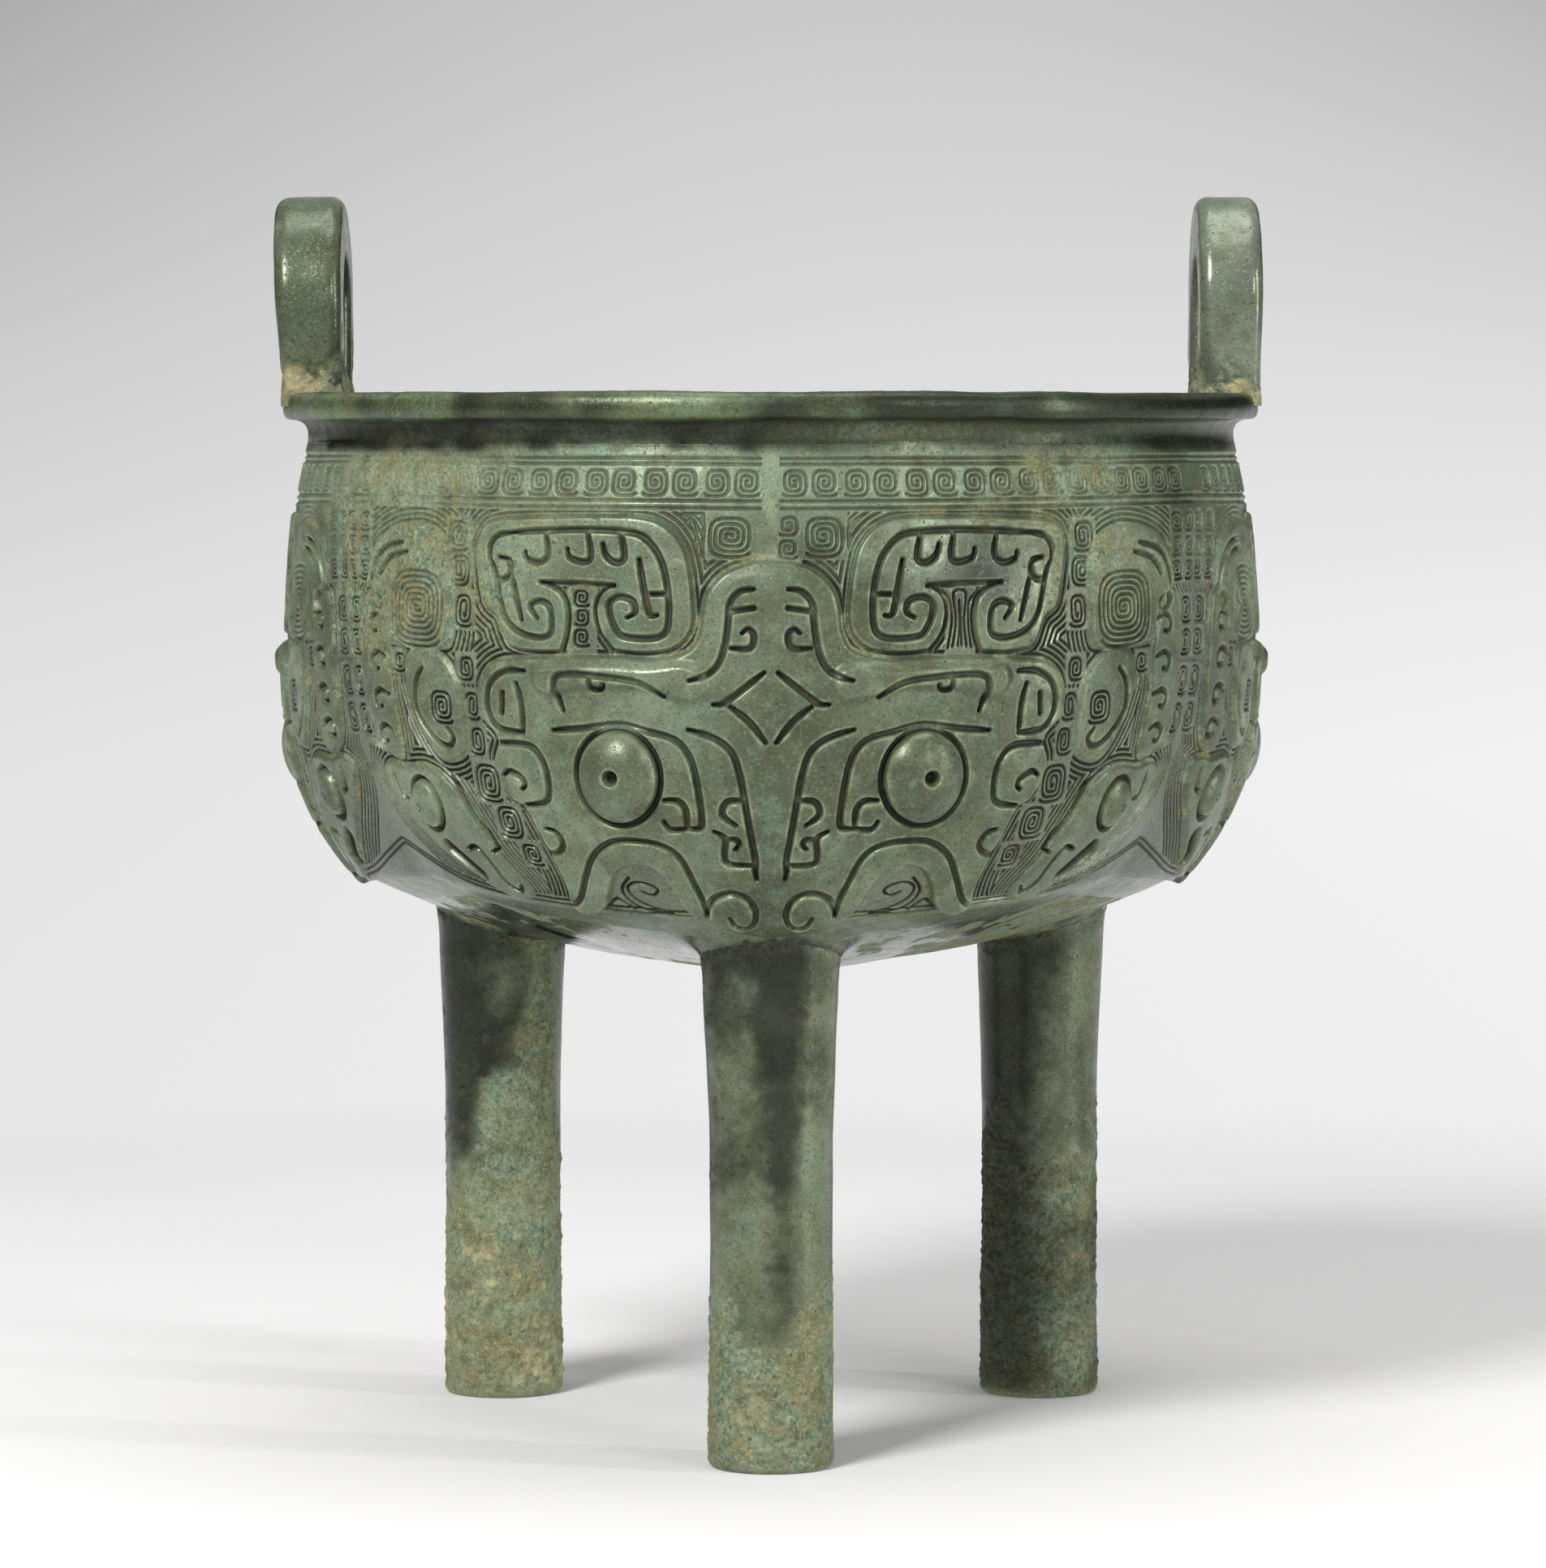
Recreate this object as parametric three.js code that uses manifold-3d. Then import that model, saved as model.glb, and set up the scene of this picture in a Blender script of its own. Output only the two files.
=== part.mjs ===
// A bronze li ding: a three-lobed cauldron with animal masks in relief, standing on three
// hollow legs, with two upright loop handles, called ears, let into its lip.
// Millimetres, +Z up. The origin is on the floor under the vessel's axis, and the front
// lobe looks toward -Y.

import * as THREE from "three";
import { mergeVertices } from "three/addons/utils/BufferGeometryUtils.js";
import Module from "manifold-3d";

const wasm = await Module();
wasm.setup();

// Bowl: heights stack upward from the floor
const STANDING_HEIGHT = 92.8; // floor to the lowest point of the underside
const LOBE_KEEL_RISE = 17.5; // underside up to the edge where a lobe's wall begins
const VALLEY_KEEL_LIFT = 5.5; // how much higher that edge lies in a valley
const WALL_HEIGHT = 92.1; // lobe keel to the neck
const LIP_HEIGHT = 10; // neck to the flat top of the lip
const LOBE_BELLY_HEIGHT = 43.5; // lobe keel to the fullest part of a lobe
const VALLEY_BELLY_HEIGHT = 59.5; // lobe keel to the fullest part of a valley

// Bowl: radii are set off from the neck
const NECK_RADIUS = 95.5;
const LIP_OVERHANG = 5; // lip beyond the neck
const LOBE_SWELL = 6.3; // lobe crown beyond the neck
const VALLEY_SWELL = 1.5; // valley beyond the neck
const LOBE_KEEL_DRAW = 9.5; // lobe keel inside the neck
const VALLEY_KEEL_DRAW = 15.5; // valley keel inside the neck
const WALL = 5;
const LIP_EDGE = 5.2; // height of the lip's outer edge
const LIP_ROUND = 1.6;

// Bowl: how far each curve of the section holds its direction, and how steep it starts
const KEEL_PULL = 14;
const LOBE_KEEL_SLOPE = 45;
const VALLEY_KEEL_SLOPE = 55;
const LOBE_LOW_PULL = 24;
const LOBE_HIGH_PULL = 22;
const VALLEY_LOW_PULL = 26;
const VALLEY_HIGH_PULL = 16;
const NECK_PULL = 14;
const NECK_FLARE = 3;
const UNDERSIDE_FLAT = 34;
const UNDERSIDE_PULL = 16;

// Mask relief: drawn flat, as across the girth and up the wall, and laid round each lobe
const LOBE_COUNT = 3;
const GIRTH_RADIUS = 100; // radius at which the drawing keeps its true width
const DRAWN_RISE = 98; // drawing's height from keel to neck
const MASK_RELIEF = 1.7;
const HORN_RELIEF = 0.8;
const DRAGON_RELIEF = 0.9;
const RELIEF_ROOT = 1.6; // how deep a raised plate is rooted in the wall
const RELIEF_REACH = 30; // how far an outline's cutter stands off the wall
const PUPIL_RADIUS = 1.5;
const PUPIL_DEPTH = 1.8;
const PUPIL_OFFSET = 1.4; // pupil outward of the eye's middle

// Bosses and ridges of the mask: bulge is measured off the wall, under the plates
const EYE = { across: 29.4, rise: 32.6, halfWidth: 8, halfHeight: 9, bulge: 5.3, sides: 12 };
const DRAGON_EYE = { across: 81.2, rise: 22, halfWidth: 4.6, halfHeight: 5.4, bulge: 2.6, sides: 8 };
const BROW = { across: 29, rise: 52.6, halfWidth: 17, halfHeight: 5, bulge: 2.9, sides: 6 };
const NOSTRIL = { across: 8.2, rise: 1.4, halfWidth: 6.4, halfHeight: 6.6, bulge: 3.4, sides: 6 };
const NOSE = { across: 0, rise: 21, halfWidth: 11, halfHeight: 30, bulge: 3.1, sides: 8 };

// Ears
const EAR_HEIGHT = 40.4;
const EAR_THICKNESS = 12.6;
const LEFT_EAR_TOP_THICKNESS = 14.2; // the left ear thickens upward and leans out
const RIGHT_EAR_TOP_THICKNESS = 12.8;
const EAR_BASE_WIDTH = 38;
const EAR_FULL_WIDTH = 44;
const EAR_BAND = 12; // width of the loop's band
const EAR_ROUND = 2.6;
const LEFT_EAR_LEAN = 2; // degrees outward
const RIGHT_EAR_LEAN = 0.3;
const EAR_SETBACK = 0.6; // outer face inside the lip's edge
const EAR_TENON_WIDTH = 7;
const EAR_TENON_THICKNESS = 5;
const EAR_TENON_DEPTH = 5;

// Legs
const LEG_INSET = 20; // lobe keel in to the leg's axis
const LEG_TOP_RADIUS = 13.4;
const LEG_WAIST_RADIUS = 11.8;
const LEG_FOOT_RADIUS = 12.5;
const LEG_WAIST_HEIGHT = 42;
const LEG_FLARE = 2.4; // widening where the leg meets the bowl
const LEG_FLARE_LENGTH = 9;
const FOOT_ROUND = 1.8;
const LEG_BORE_RADIUS = 7;
const FOOT_THICKNESS = 9;
const LEG_TENON_LENGTH = 7; // stub of the bowl inside a leg's bore

// Chaplets: metal spacers left in the underside when it was cast
const CHAPLET_SIDE = 9;
const INNER_CHAPLET_RADIUS = 22;
const OUTER_CHAPLET_RADIUS = 50;

const CLEARANCE = 0.3; // gap between neighbouring pieces
const GIRTH_STEPS = 36; // a multiple of 6, so that crowns and creases fall on a step
const WALL_STEPS = 7;
const UNDERSIDE_STEPS = 4;
const INSIDE_WALL_STEPS = 4;
const INSIDE_FLOOR_STEPS = 3;
const LIP_STEPS = 2;
const OUTLINE_STEPS = 3;
const LOW_STEPS = 2; // for the outlines of the lowest plates
const PUPIL_SIDES = 6;
const LEG_SIDES = 18;
const EAR_STEPS = 4;
const EAR_ROUND_STEPS = 2;

const KEEL_HEIGHT = STANDING_HEIGHT + LOBE_KEEL_RISE;
const NECK_HEIGHT = KEEL_HEIGHT + WALL_HEIGHT;
const LIP_TOP = NECK_HEIGHT + LIP_HEIGHT;
const LIP_RADIUS = NECK_RADIUS + LIP_OVERHANG;
const LEG_CIRCLE = NECK_RADIUS - LOBE_KEEL_DRAW - LEG_INSET;
const LOBE_ANGLE = (2 * Math.PI) / LOBE_COUNT;

const bronze = { color: 0x5d6150, roughness: 0.5, metalness: 0.75 };
const darkBronze = { color: 0x45432f, roughness: 0.48, metalness: 0.75 };
const crustedBronze = { color: 0x4b5a44, roughness: 0.65, metalness: 0.55 };
const firedClay = { color: 0x6e5138, roughness: 0.95, metalness: 0 };
const spacerBronze = { color: 0x6f7262, roughness: 0.55, metalness: 0.7 };

// Solids: a closed geometry becomes a solid that can be joined and cut, and back

function solidOf(geometry) {
  const bare = geometry.clone();
  for (const name of Object.keys(bare.attributes)) {
    if (name !== "position") bare.deleteAttribute(name);
  }
  const merged = mergeVertices(bare, 1e-4);
  const mesh = new wasm.Mesh({
    numProp: 3,
    vertProperties: Float32Array.from(merged.attributes.position.array),
    triVerts: Uint32Array.from(merged.index.array),
  });
  mesh.merge();
  return new wasm.Manifold(mesh);
}

function meshOf(solid, name, finish) {
  const { vertProperties, triVerts } = solid.getMesh();
  const geometry = new THREE.BufferGeometry();
  geometry.setAttribute("position", new THREE.BufferAttribute(vertProperties, 3));
  geometry.setIndex(new THREE.BufferAttribute(triVerts, 1));
  geometry.computeVertexNormals();
  const mesh = new THREE.Mesh(geometry, new THREE.MeshStandardMaterial(finish));
  mesh.name = name;
  return mesh;
}

// The bowl's section: a lobe's and a valley's curves, blended round the girth

const degrees = THREE.MathUtils.degToRad;

function wallCurve(swell, bellyHeight, keelDraw, keelLift, slope, lowPull, highPull) {
  const keel = new THREE.Vector2(NECK_RADIUS - keelDraw, KEEL_HEIGHT + keelLift);
  const belly = new THREE.Vector2(NECK_RADIUS + swell, KEEL_HEIGHT + bellyHeight);
  const angle = degrees(slope);
  const path = new THREE.Path();
  path.moveTo(keel.x, keel.y);
  path.bezierCurveTo(
    keel.x + KEEL_PULL * Math.cos(angle),
    keel.y + KEEL_PULL * Math.sin(angle),
    belly.x,
    belly.y - lowPull,
    belly.x,
    belly.y,
  );
  path.bezierCurveTo(
    belly.x,
    belly.y + highPull,
    NECK_RADIUS + NECK_FLARE,
    NECK_HEIGHT - NECK_PULL,
    NECK_RADIUS,
    NECK_HEIGHT,
  );
  return path;
}

function undersideCurve(keelDraw, keelLift) {
  const keelRadius = NECK_RADIUS - keelDraw;
  const keelHeight = KEEL_HEIGHT + keelLift;
  const path = new THREE.Path();
  path.moveTo(0, STANDING_HEIGHT);
  path.bezierCurveTo(
    UNDERSIDE_FLAT,
    STANDING_HEIGHT,
    keelRadius - UNDERSIDE_PULL,
    keelHeight - UNDERSIDE_PULL / 2,
    keelRadius,
    keelHeight,
  );
  return path;
}

const lobeWall = wallCurve(
  LOBE_SWELL,
  LOBE_BELLY_HEIGHT,
  LOBE_KEEL_DRAW,
  0,
  LOBE_KEEL_SLOPE,
  LOBE_LOW_PULL,
  LOBE_HIGH_PULL,
);
const valleyWall = wallCurve(
  VALLEY_SWELL,
  VALLEY_BELLY_HEIGHT,
  VALLEY_KEEL_DRAW,
  VALLEY_KEEL_LIFT,
  VALLEY_KEEL_SLOPE,
  VALLEY_LOW_PULL,
  VALLEY_HIGH_PULL,
);
const lobeUnderside = undersideCurve(LOBE_KEEL_DRAW, 0);
const valleyUnderside = undersideCurve(VALLEY_KEEL_DRAW, VALLEY_KEEL_LIFT);

// 1 on the crown of a lobe, 0 in the crease of a valley; angle 0 is the front lobe's crown.
const lobeShare = (angle) => Math.abs(Math.cos((LOBE_COUNT / 2) * angle));

// A place on the section: along is 0 at the axis, 1 at the keel and 2 at the neck.
function sectionPoint(angle, along) {
  const onWall = along > 1;
  const t = onWall ? Math.min(along - 1, 1) : Math.max(along, 0);
  const valley = (onWall ? valleyWall : valleyUnderside).getPoint(t);
  const lobe = (onWall ? lobeWall : lobeUnderside).getPoint(t);
  return valley.lerp(lobe, lobeShare(angle));
}

function spatial(angle, radius, height) {
  return new THREE.Vector3(radius * Math.sin(angle), -radius * Math.cos(angle), height);
}

function surfacePoint(angle, along) {
  const place = sectionPoint(angle, along);
  return spatial(angle, place.x, place.y);
}

function surfaceNormal(angle, along) {
  const turn = 0.004;
  const step = along > 1 ? Math.min(along, 1.99) : Math.max(along, 0.01);
  const around = surfacePoint(angle + turn, step).sub(surfacePoint(angle - turn, step));
  const upward = surfacePoint(angle, step + 0.008).sub(surfacePoint(angle, step - 0.008));
  return around.cross(upward).normalize();
}

// A closed surface of rings round the axis, from a point on the axis to a point on the axis.
function ringedSolid(start, rings, end) {
  const positions = [...start.toArray()];
  for (const ring of rings) for (const point of ring) positions.push(...point.toArray());
  positions.push(...end.toArray());
  const last = positions.length / 3 - 1;
  const corner = (ring, step) => 1 + ring * GIRTH_STEPS + (step % GIRTH_STEPS);
  const index = [];
  for (let step = 0; step < GIRTH_STEPS; step++) {
    index.push(0, corner(0, step + 1), corner(0, step));
    for (let ring = 0; ring + 1 < rings.length; ring++) {
      const [a, b] = [corner(ring, step), corner(ring, step + 1)];
      const [c, d] = [corner(ring + 1, step + 1), corner(ring + 1, step)];
      index.push(a, b, c, a, c, d);
    }
    index.push(corner(rings.length - 1, step), corner(rings.length - 1, step + 1), last);
  }
  const geometry = new THREE.BufferGeometry();
  geometry.setAttribute("position", new THREE.Float32BufferAttribute(positions, 3));
  geometry.setIndex(index);
  return solidOf(geometry);
}

const girthAngles = Array.from({ length: GIRTH_STEPS }, (_, i) => (i * 2 * Math.PI) / GIRTH_STEPS);

function surfaceRing(along, offset) {
  return girthAngles.map((angle) => {
    const point = surfacePoint(angle, along);
    return point.addScaledVector(surfaceNormal(angle, along), offset);
  });
}

function levelRing(radius, height) {
  return girthAngles.map((angle) => spatial(angle, radius, height));
}

// Places up the section, from near the axis to the neck.
function alongs(undersideSteps, wallSteps) {
  const underside = Array.from({ length: undersideSteps }, (_, i) => (i + 1) / undersideSteps);
  const wall = Array.from({ length: wallSteps }, (_, i) => 1 + (i + 1) / wallSteps);
  return [...underside, ...wall];
}

// The lip's outline from the neck outward, over the rounded edge and flat top, to the inside.
function lipOutline() {
  const edgeFoot = LIP_TOP - LIP_EDGE;
  const inner = NECK_RADIUS - WALL;
  const lip = new THREE.Path();
  lip.moveTo(NECK_RADIUS, NECK_HEIGHT);
  lip.quadraticCurveTo(NECK_RADIUS, edgeFoot, LIP_RADIUS - LIP_ROUND, edgeFoot);
  lip.quadraticCurveTo(LIP_RADIUS, edgeFoot, LIP_RADIUS, edgeFoot + LIP_ROUND);
  lip.lineTo(LIP_RADIUS, LIP_TOP - LIP_ROUND);
  lip.quadraticCurveTo(LIP_RADIUS, LIP_TOP, LIP_RADIUS - LIP_ROUND, LIP_TOP);
  lip.lineTo(inner + LIP_ROUND, LIP_TOP);
  lip.quadraticCurveTo(inner, LIP_TOP, inner, LIP_TOP - LIP_ROUND);
  return lip.getPoints(LIP_STEPS).slice(1);
}

function bowlShell() {
  const outsideAlongs = alongs(UNDERSIDE_STEPS, WALL_STEPS);
  const outside = outsideAlongs.map((along) => surfaceRing(along, 0));
  const lip = lipOutline().map((point) => levelRing(point.x, point.y));
  const insideAlongs = alongs(INSIDE_FLOOR_STEPS, INSIDE_WALL_STEPS).reverse();
  const inside = insideAlongs.map((along) => surfaceRing(along, -WALL));
  const bottom = new THREE.Vector3(0, 0, STANDING_HEIGHT);
  const well = new THREE.Vector3(0, 0, STANDING_HEIGHT + WALL);
  return ringedSolid(bottom, [...outside, ...lip, ...inside], well);
}

// The space that the bowl fills, grown by a gap: cuts what stands against its outside.
function bowlEnvelope(gap) {
  const outsideAlongs = alongs(UNDERSIDE_STEPS, WALL_STEPS);
  const rings = outsideAlongs.map((along) => surfaceRing(along, gap));
  const bottom = new THREE.Vector3(0, 0, STANDING_HEIGHT - gap);
  const top = new THREE.Vector3(0, 0, NECK_HEIGHT);
  return ringedSolid(bottom, rings, top);
}

// Mask relief

// Where a height on the flat drawing lies on the section; below the keel it runs on inward.
function alongOfRise(rise) {
  if (rise >= 0) return 1 + rise / DRAWN_RISE;
  return 1 + rise / lobeUnderside.getLength();
}

// Lays a solid drawn flat (across, rise, height off the wall) round the lobe at lobeAngle.
function layOnLobe(geometry, lobeAngle, side) {
  const laid = geometry.index ? geometry.toNonIndexed() : geometry.clone();
  const position = laid.attributes.position;
  for (let i = 0; i < position.count; i++) {
    const angle = lobeAngle + (side * position.getX(i)) / GIRTH_RADIUS;
    const along = alongOfRise(position.getY(i));
    const point = surfacePoint(angle, along);
    point.addScaledVector(surfaceNormal(angle, along), position.getZ(i));
    position.setXYZ(i, point.x, point.y, point.z);
  }
  if (side < 0) {
    const flipped = position.array.slice();
    for (let i = 0; i < position.count; i += 3) {
      flipped.copyWithin(i * 3 + 3, i * 3 + 6, i * 3 + 9);
      flipped.set(position.array.slice(i * 3 + 3, i * 3 + 6), i * 3 + 6);
    }
    position.array.set(flipped);
  }
  return solidOf(laid);
}

// A skin over the whole wall, rooted in it: what an outline keeps of it is a raised plate.
function wallSkin(relief) {
  return bowlEnvelope(relief).subtract(bowlEnvelope(-RELIEF_ROOT));
}

function outlineCutter(shape, curveSegments) {
  const cutter = new THREE.ExtrudeGeometry(shape, {
    depth: RELIEF_REACH + 2 * RELIEF_ROOT,
    bevelEnabled: false,
    curveSegments,
  });
  return cutter.translate(0, 0, -2 * RELIEF_ROOT);
}

// Half of the face: crest, brow and ear, cheek, jaw arch and snout. The halves lap at the middle.
function faceShape() {
  const lap = 1;
  const face = new THREE.Shape();
  face.moveTo(-lap, 75);
  face.lineTo(0, 75);
  face.bezierCurveTo(8, 75, 13, 71, 13, 65);
  face.bezierCurveTo(13.4, 58.5, 15, 56, 22, 55.7);
  face.lineTo(50, 55.2);
  face.bezierCurveTo(63, 55, 65, 42, 55.8, 38);
  face.bezierCurveTo(59, 34, 56, 25.5, 50.5, 24.5);
  face.quadraticCurveTo(45.6, 14, 46.8, 1.2);
  face.lineTo(42.5, -0.6);
  face.quadraticCurveTo(37.5, 0.5, 35, 7);
  face.bezierCurveTo(33, 16.5, 23.5, 16, 21, 8.6);
  face.quadraticCurveTo(19, -1, 14, -2.2);
  face.quadraticCurveTo(8, -6.6, 0, -7);
  face.lineTo(-lap, -7);
  face.closePath();
  return face;
}

// One horn: a hooked C, open below in a notch shaped like a T.
function hornShape() {
  const horn = new THREE.Shape();
  horn.moveTo(41, 57);
  horn.lineTo(50, 56.8);
  horn.bezierCurveTo(56, 57.5, 55.5, 64, 60, 66.5);
  horn.lineTo(61.6, 75);
  horn.quadraticCurveTo(62, 83, 54, 83.2);
  horn.lineTo(27.5, 83.6);
  horn.bezierCurveTo(19, 83.4, 15.4, 78, 15, 68.2);
  horn.bezierCurveTo(14.2, 60, 17, 57, 24.7, 57);
  horn.lineTo(30.6, 57.4);
  horn.quadraticCurveTo(33.6, 61, 34.2, 65.5);
  horn.quadraticCurveTo(33.6, 68.8, 31.2, 69.8);
  horn.lineTo(45.2, 70.2);
  horn.quadraticCurveTo(41.4, 69, 40, 65);
  horn.quadraticCurveTo(39.4, 60, 41, 57);
  return horn;
}

// The side dragon's coiled head.
function dragonHeadShape() {
  const head = new THREE.Shape();
  head.moveTo(72, 56);
  head.bezierCurveTo(66, 58, 67, 69, 69, 76);
  head.bezierCurveTo(72, 82.5, 84, 82.5, 91, 77.5);
  head.quadraticCurveTo(95.5, 73.5, 95, 68);
  head.quadraticCurveTo(89, 64, 88, 57);
  head.closePath();
  return head;
}

// The comma-shaped wing below the head.
function dragonWingShape() {
  const wing = new THREE.Shape();
  wing.moveTo(80, 55);
  wing.bezierCurveTo(70, 56.5, 66, 52, 64.8, 46);
  wing.lineTo(64.5, 36);
  wing.bezierCurveTo(65.5, 31, 73, 31.5, 76, 36);
  wing.quadraticCurveTo(80, 43, 82, 50);
  wing.closePath();
  return wing;
}

// The upright body beside the valley.
function dragonBodyShape() {
  const body = new THREE.Shape();
  body.moveTo(92, 64.5);
  body.lineTo(96, 65);
  body.bezierCurveTo(98.5, 57, 98.5, 42, 95.4, 35);
  body.bezierCurveTo(92, 30, 86, 30.5, 86.6, 38);
  body.quadraticCurveTo(88.6, 50, 89, 60);
  body.closePath();
  return body;
}

// The slanting lower jaw, which carries the dragon's eye.
function dragonJawShape() {
  const jaw = new THREE.Shape();
  jaw.moveTo(87, 29.6);
  jaw.bezierCurveTo(72, 32.5, 69, 23, 62.5, 11.5);
  jaw.lineTo(57.6, 3.4);
  jaw.quadraticCurveTo(60, 0, 70, 3);
  jaw.bezierCurveTo(80, 8, 94, 18, 97, 27);
  jaw.quadraticCurveTo(93, 30.4, 87, 29.6);
  return jaw;
}

// A low dome with a flat foot in the wall.
function boss({ across, rise, halfWidth, halfHeight, bulge, sides }) {
  const side = new THREE.Path();
  side.moveTo(0, -RELIEF_ROOT);
  side.lineTo(1, -RELIEF_ROOT);
  side.lineTo(1, 0);
  side.bezierCurveTo(1, bulge * 0.7, 0.5, bulge, 0, bulge);
  const dome = new THREE.LatheGeometry(side.getPoints(OUTLINE_STEPS), sides).rotateX(Math.PI / 2);
  dome.scale(halfWidth, halfHeight, 1);
  return dome.translate(across, rise, 0);
}

function pupil() {
  const pit = new THREE.CylinderGeometry(PUPIL_RADIUS, PUPIL_RADIUS, 2 * PUPIL_DEPTH, PUPIL_SIDES);
  pit.rotateX(Math.PI / 2);
  pit.translate(EYE.across + PUPIL_OFFSET, EYE.rise, EYE.bulge);
  return pit;
}

const dragonShapes = [dragonHeadShape(), dragonWingShape(), dragonBodyShape(), dragonJawShape()];
const reliefs = [
  { skin: wallSkin(MASK_RELIEF), outlines: [faceShape()], steps: OUTLINE_STEPS },
  { skin: wallSkin(HORN_RELIEF), outlines: [hornShape()], steps: LOW_STEPS },
  { skin: wallSkin(DRAGON_RELIEF), outlines: dragonShapes, steps: LOW_STEPS },
];

// The plates and bosses stop short of the leg under the lobe.
function addMask(bowl, lobeAngle) {
  const legSpace = solidOf(onLegCircle(legColumn(CLEARANCE), lobeAngle));
  let masked = bowl;
  const raise = (solid) => {
    masked = masked.add(solid.subtract(legSpace));
  };
  for (const side of [1, -1]) {
    for (const { skin, outlines, steps } of reliefs) {
      for (const outline of outlines) {
        raise(skin.intersect(layOnLobe(outlineCutter(outline, steps), lobeAngle, side)));
      }
    }
    for (const form of [EYE, DRAGON_EYE, BROW, NOSTRIL]) raise(layOnLobe(boss(form), lobeAngle, side));
    masked = masked.subtract(layOnLobe(pupil(), lobeAngle, side));
  }
  raise(layOnLobe(boss(NOSE), lobeAngle, 1));
  return masked;
}

// Ears

function earShape() {
  const half = EAR_BASE_WIDTH / 2;
  const full = EAR_FULL_WIDTH / 2;
  const foot = EAR_ROUND + EAR_TENON_DEPTH;
  const shoulder = EAR_HEIGHT - full;
  const hollow = full - EAR_BAND;
  const ear = new THREE.Shape();
  ear.moveTo(-half, -foot);
  ear.lineTo(-half, 0);
  ear.quadraticCurveTo(-full, shoulder / 2, -full, shoulder);
  ear.absarc(0, shoulder, full, Math.PI, 0, true);
  ear.quadraticCurveTo(full, shoulder / 2, half, 0);
  ear.lineTo(half, -foot);
  ear.lineTo(half - EAR_BAND, -foot);
  ear.lineTo(half - EAR_BAND, 0);
  ear.quadraticCurveTo(hollow, shoulder / 2, hollow, shoulder);
  ear.absarc(0, shoulder, hollow, 0, Math.PI, false);
  ear.quadraticCurveTo(-hollow, shoulder / 2, -half + EAR_BAND, 0);
  ear.lineTo(-half + EAR_BAND, -foot);
  ear.closePath();
  return ear;
}

const EAR_POST = (EAR_BASE_WIDTH - EAR_BAND) / 2; // ear's middle to a post's middle
const EAR_MIDDLE = LIP_RADIUS - EAR_SETBACK - EAR_THICKNESS / 2;
const TENON_MIDDLE = NECK_RADIUS - WALL / 2 + LIP_OVERHANG / 2;

function earTenons(gap) {
  return [-EAR_POST, EAR_POST].map((across) => {
    const height = EAR_TENON_DEPTH + gap + EAR_ROUND;
    const width = EAR_TENON_WIDTH + 2 * gap;
    const tenon = new THREE.BoxGeometry(EAR_TENON_THICKNESS + 2 * gap, width, height);
    tenon.translate(TENON_MIDDLE, across, LIP_TOP + EAR_ROUND - height / 2);
    return solidOf(tenon);
  });
}

function earLoop(topThickness, lean) {
  const depth = EAR_THICKNESS - 2 * EAR_ROUND;
  const flat = new THREE.ExtrudeGeometry(earShape(), {
    depth,
    bevelThickness: EAR_ROUND,
    bevelSize: EAR_ROUND,
    bevelOffset: -EAR_ROUND,
    bevelSegments: EAR_ROUND_STEPS,
    curveSegments: EAR_STEPS,
  });
  flat.translate(0, 0, -depth / 2);
  const position = flat.attributes.position;
  for (let i = 0; i < position.count; i++) {
    const share = Math.max(position.getY(i), 0) / EAR_HEIGHT;
    const thickness = THREE.MathUtils.lerp(EAR_THICKNESS, topThickness, share);
    position.setZ(i, (position.getZ(i) * thickness) / EAR_THICKNESS);
  }
  flat.rotateX(Math.PI / 2);
  flat.rotateZ(Math.PI / 2);
  flat.rotateY(degrees(lean));
  flat.translate(EAR_MIDDLE, 0, LIP_TOP);
  const below = new THREE.BoxGeometry(4 * EAR_THICKNESS, 2 * EAR_FULL_WIDTH, EAR_HEIGHT);
  below.translate(EAR_MIDDLE, 0, LIP_TOP - EAR_HEIGHT / 2);
  return solidOf(flat).subtract(solidOf(below));
}

function ear(topThickness, lean) {
  const loop = earLoop(topThickness, lean);
  return earTenons(0).reduce((whole, tenon) => whole.add(tenon), loop);
}

function mirrored(solid) {
  return solid.mirror([1, 0, 0]);
}

// Legs

// Height of the underside over a leg's axis.
function legRoofHeight() {
  let best = sectionPoint(0, 0);
  for (let along = 0; along <= 1; along += 0.002) {
    const place = sectionPoint(0, along);
    if (Math.abs(place.x - LEG_CIRCLE) < Math.abs(best.x - LEG_CIRCLE)) best = place;
  }
  return best.y;
}

const LEG_ROOF = legRoofHeight();
const BORE_FLOOR = FOOT_THICKNESS;
const CORE_TOP = LEG_ROOF - LEG_TENON_LENGTH - CLEARANCE;

function onLegCircle(geometry, angle) {
  return geometry.translate(0, -LEG_CIRCLE, 0).rotateZ(angle);
}

function rod(radius, bottom, top) {
  const cylinder = new THREE.CylinderGeometry(radius, radius, top - bottom, LEG_SIDES);
  cylinder.rotateX(Math.PI / 2);
  return cylinder.translate(0, 0, (bottom + top) / 2);
}

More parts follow.
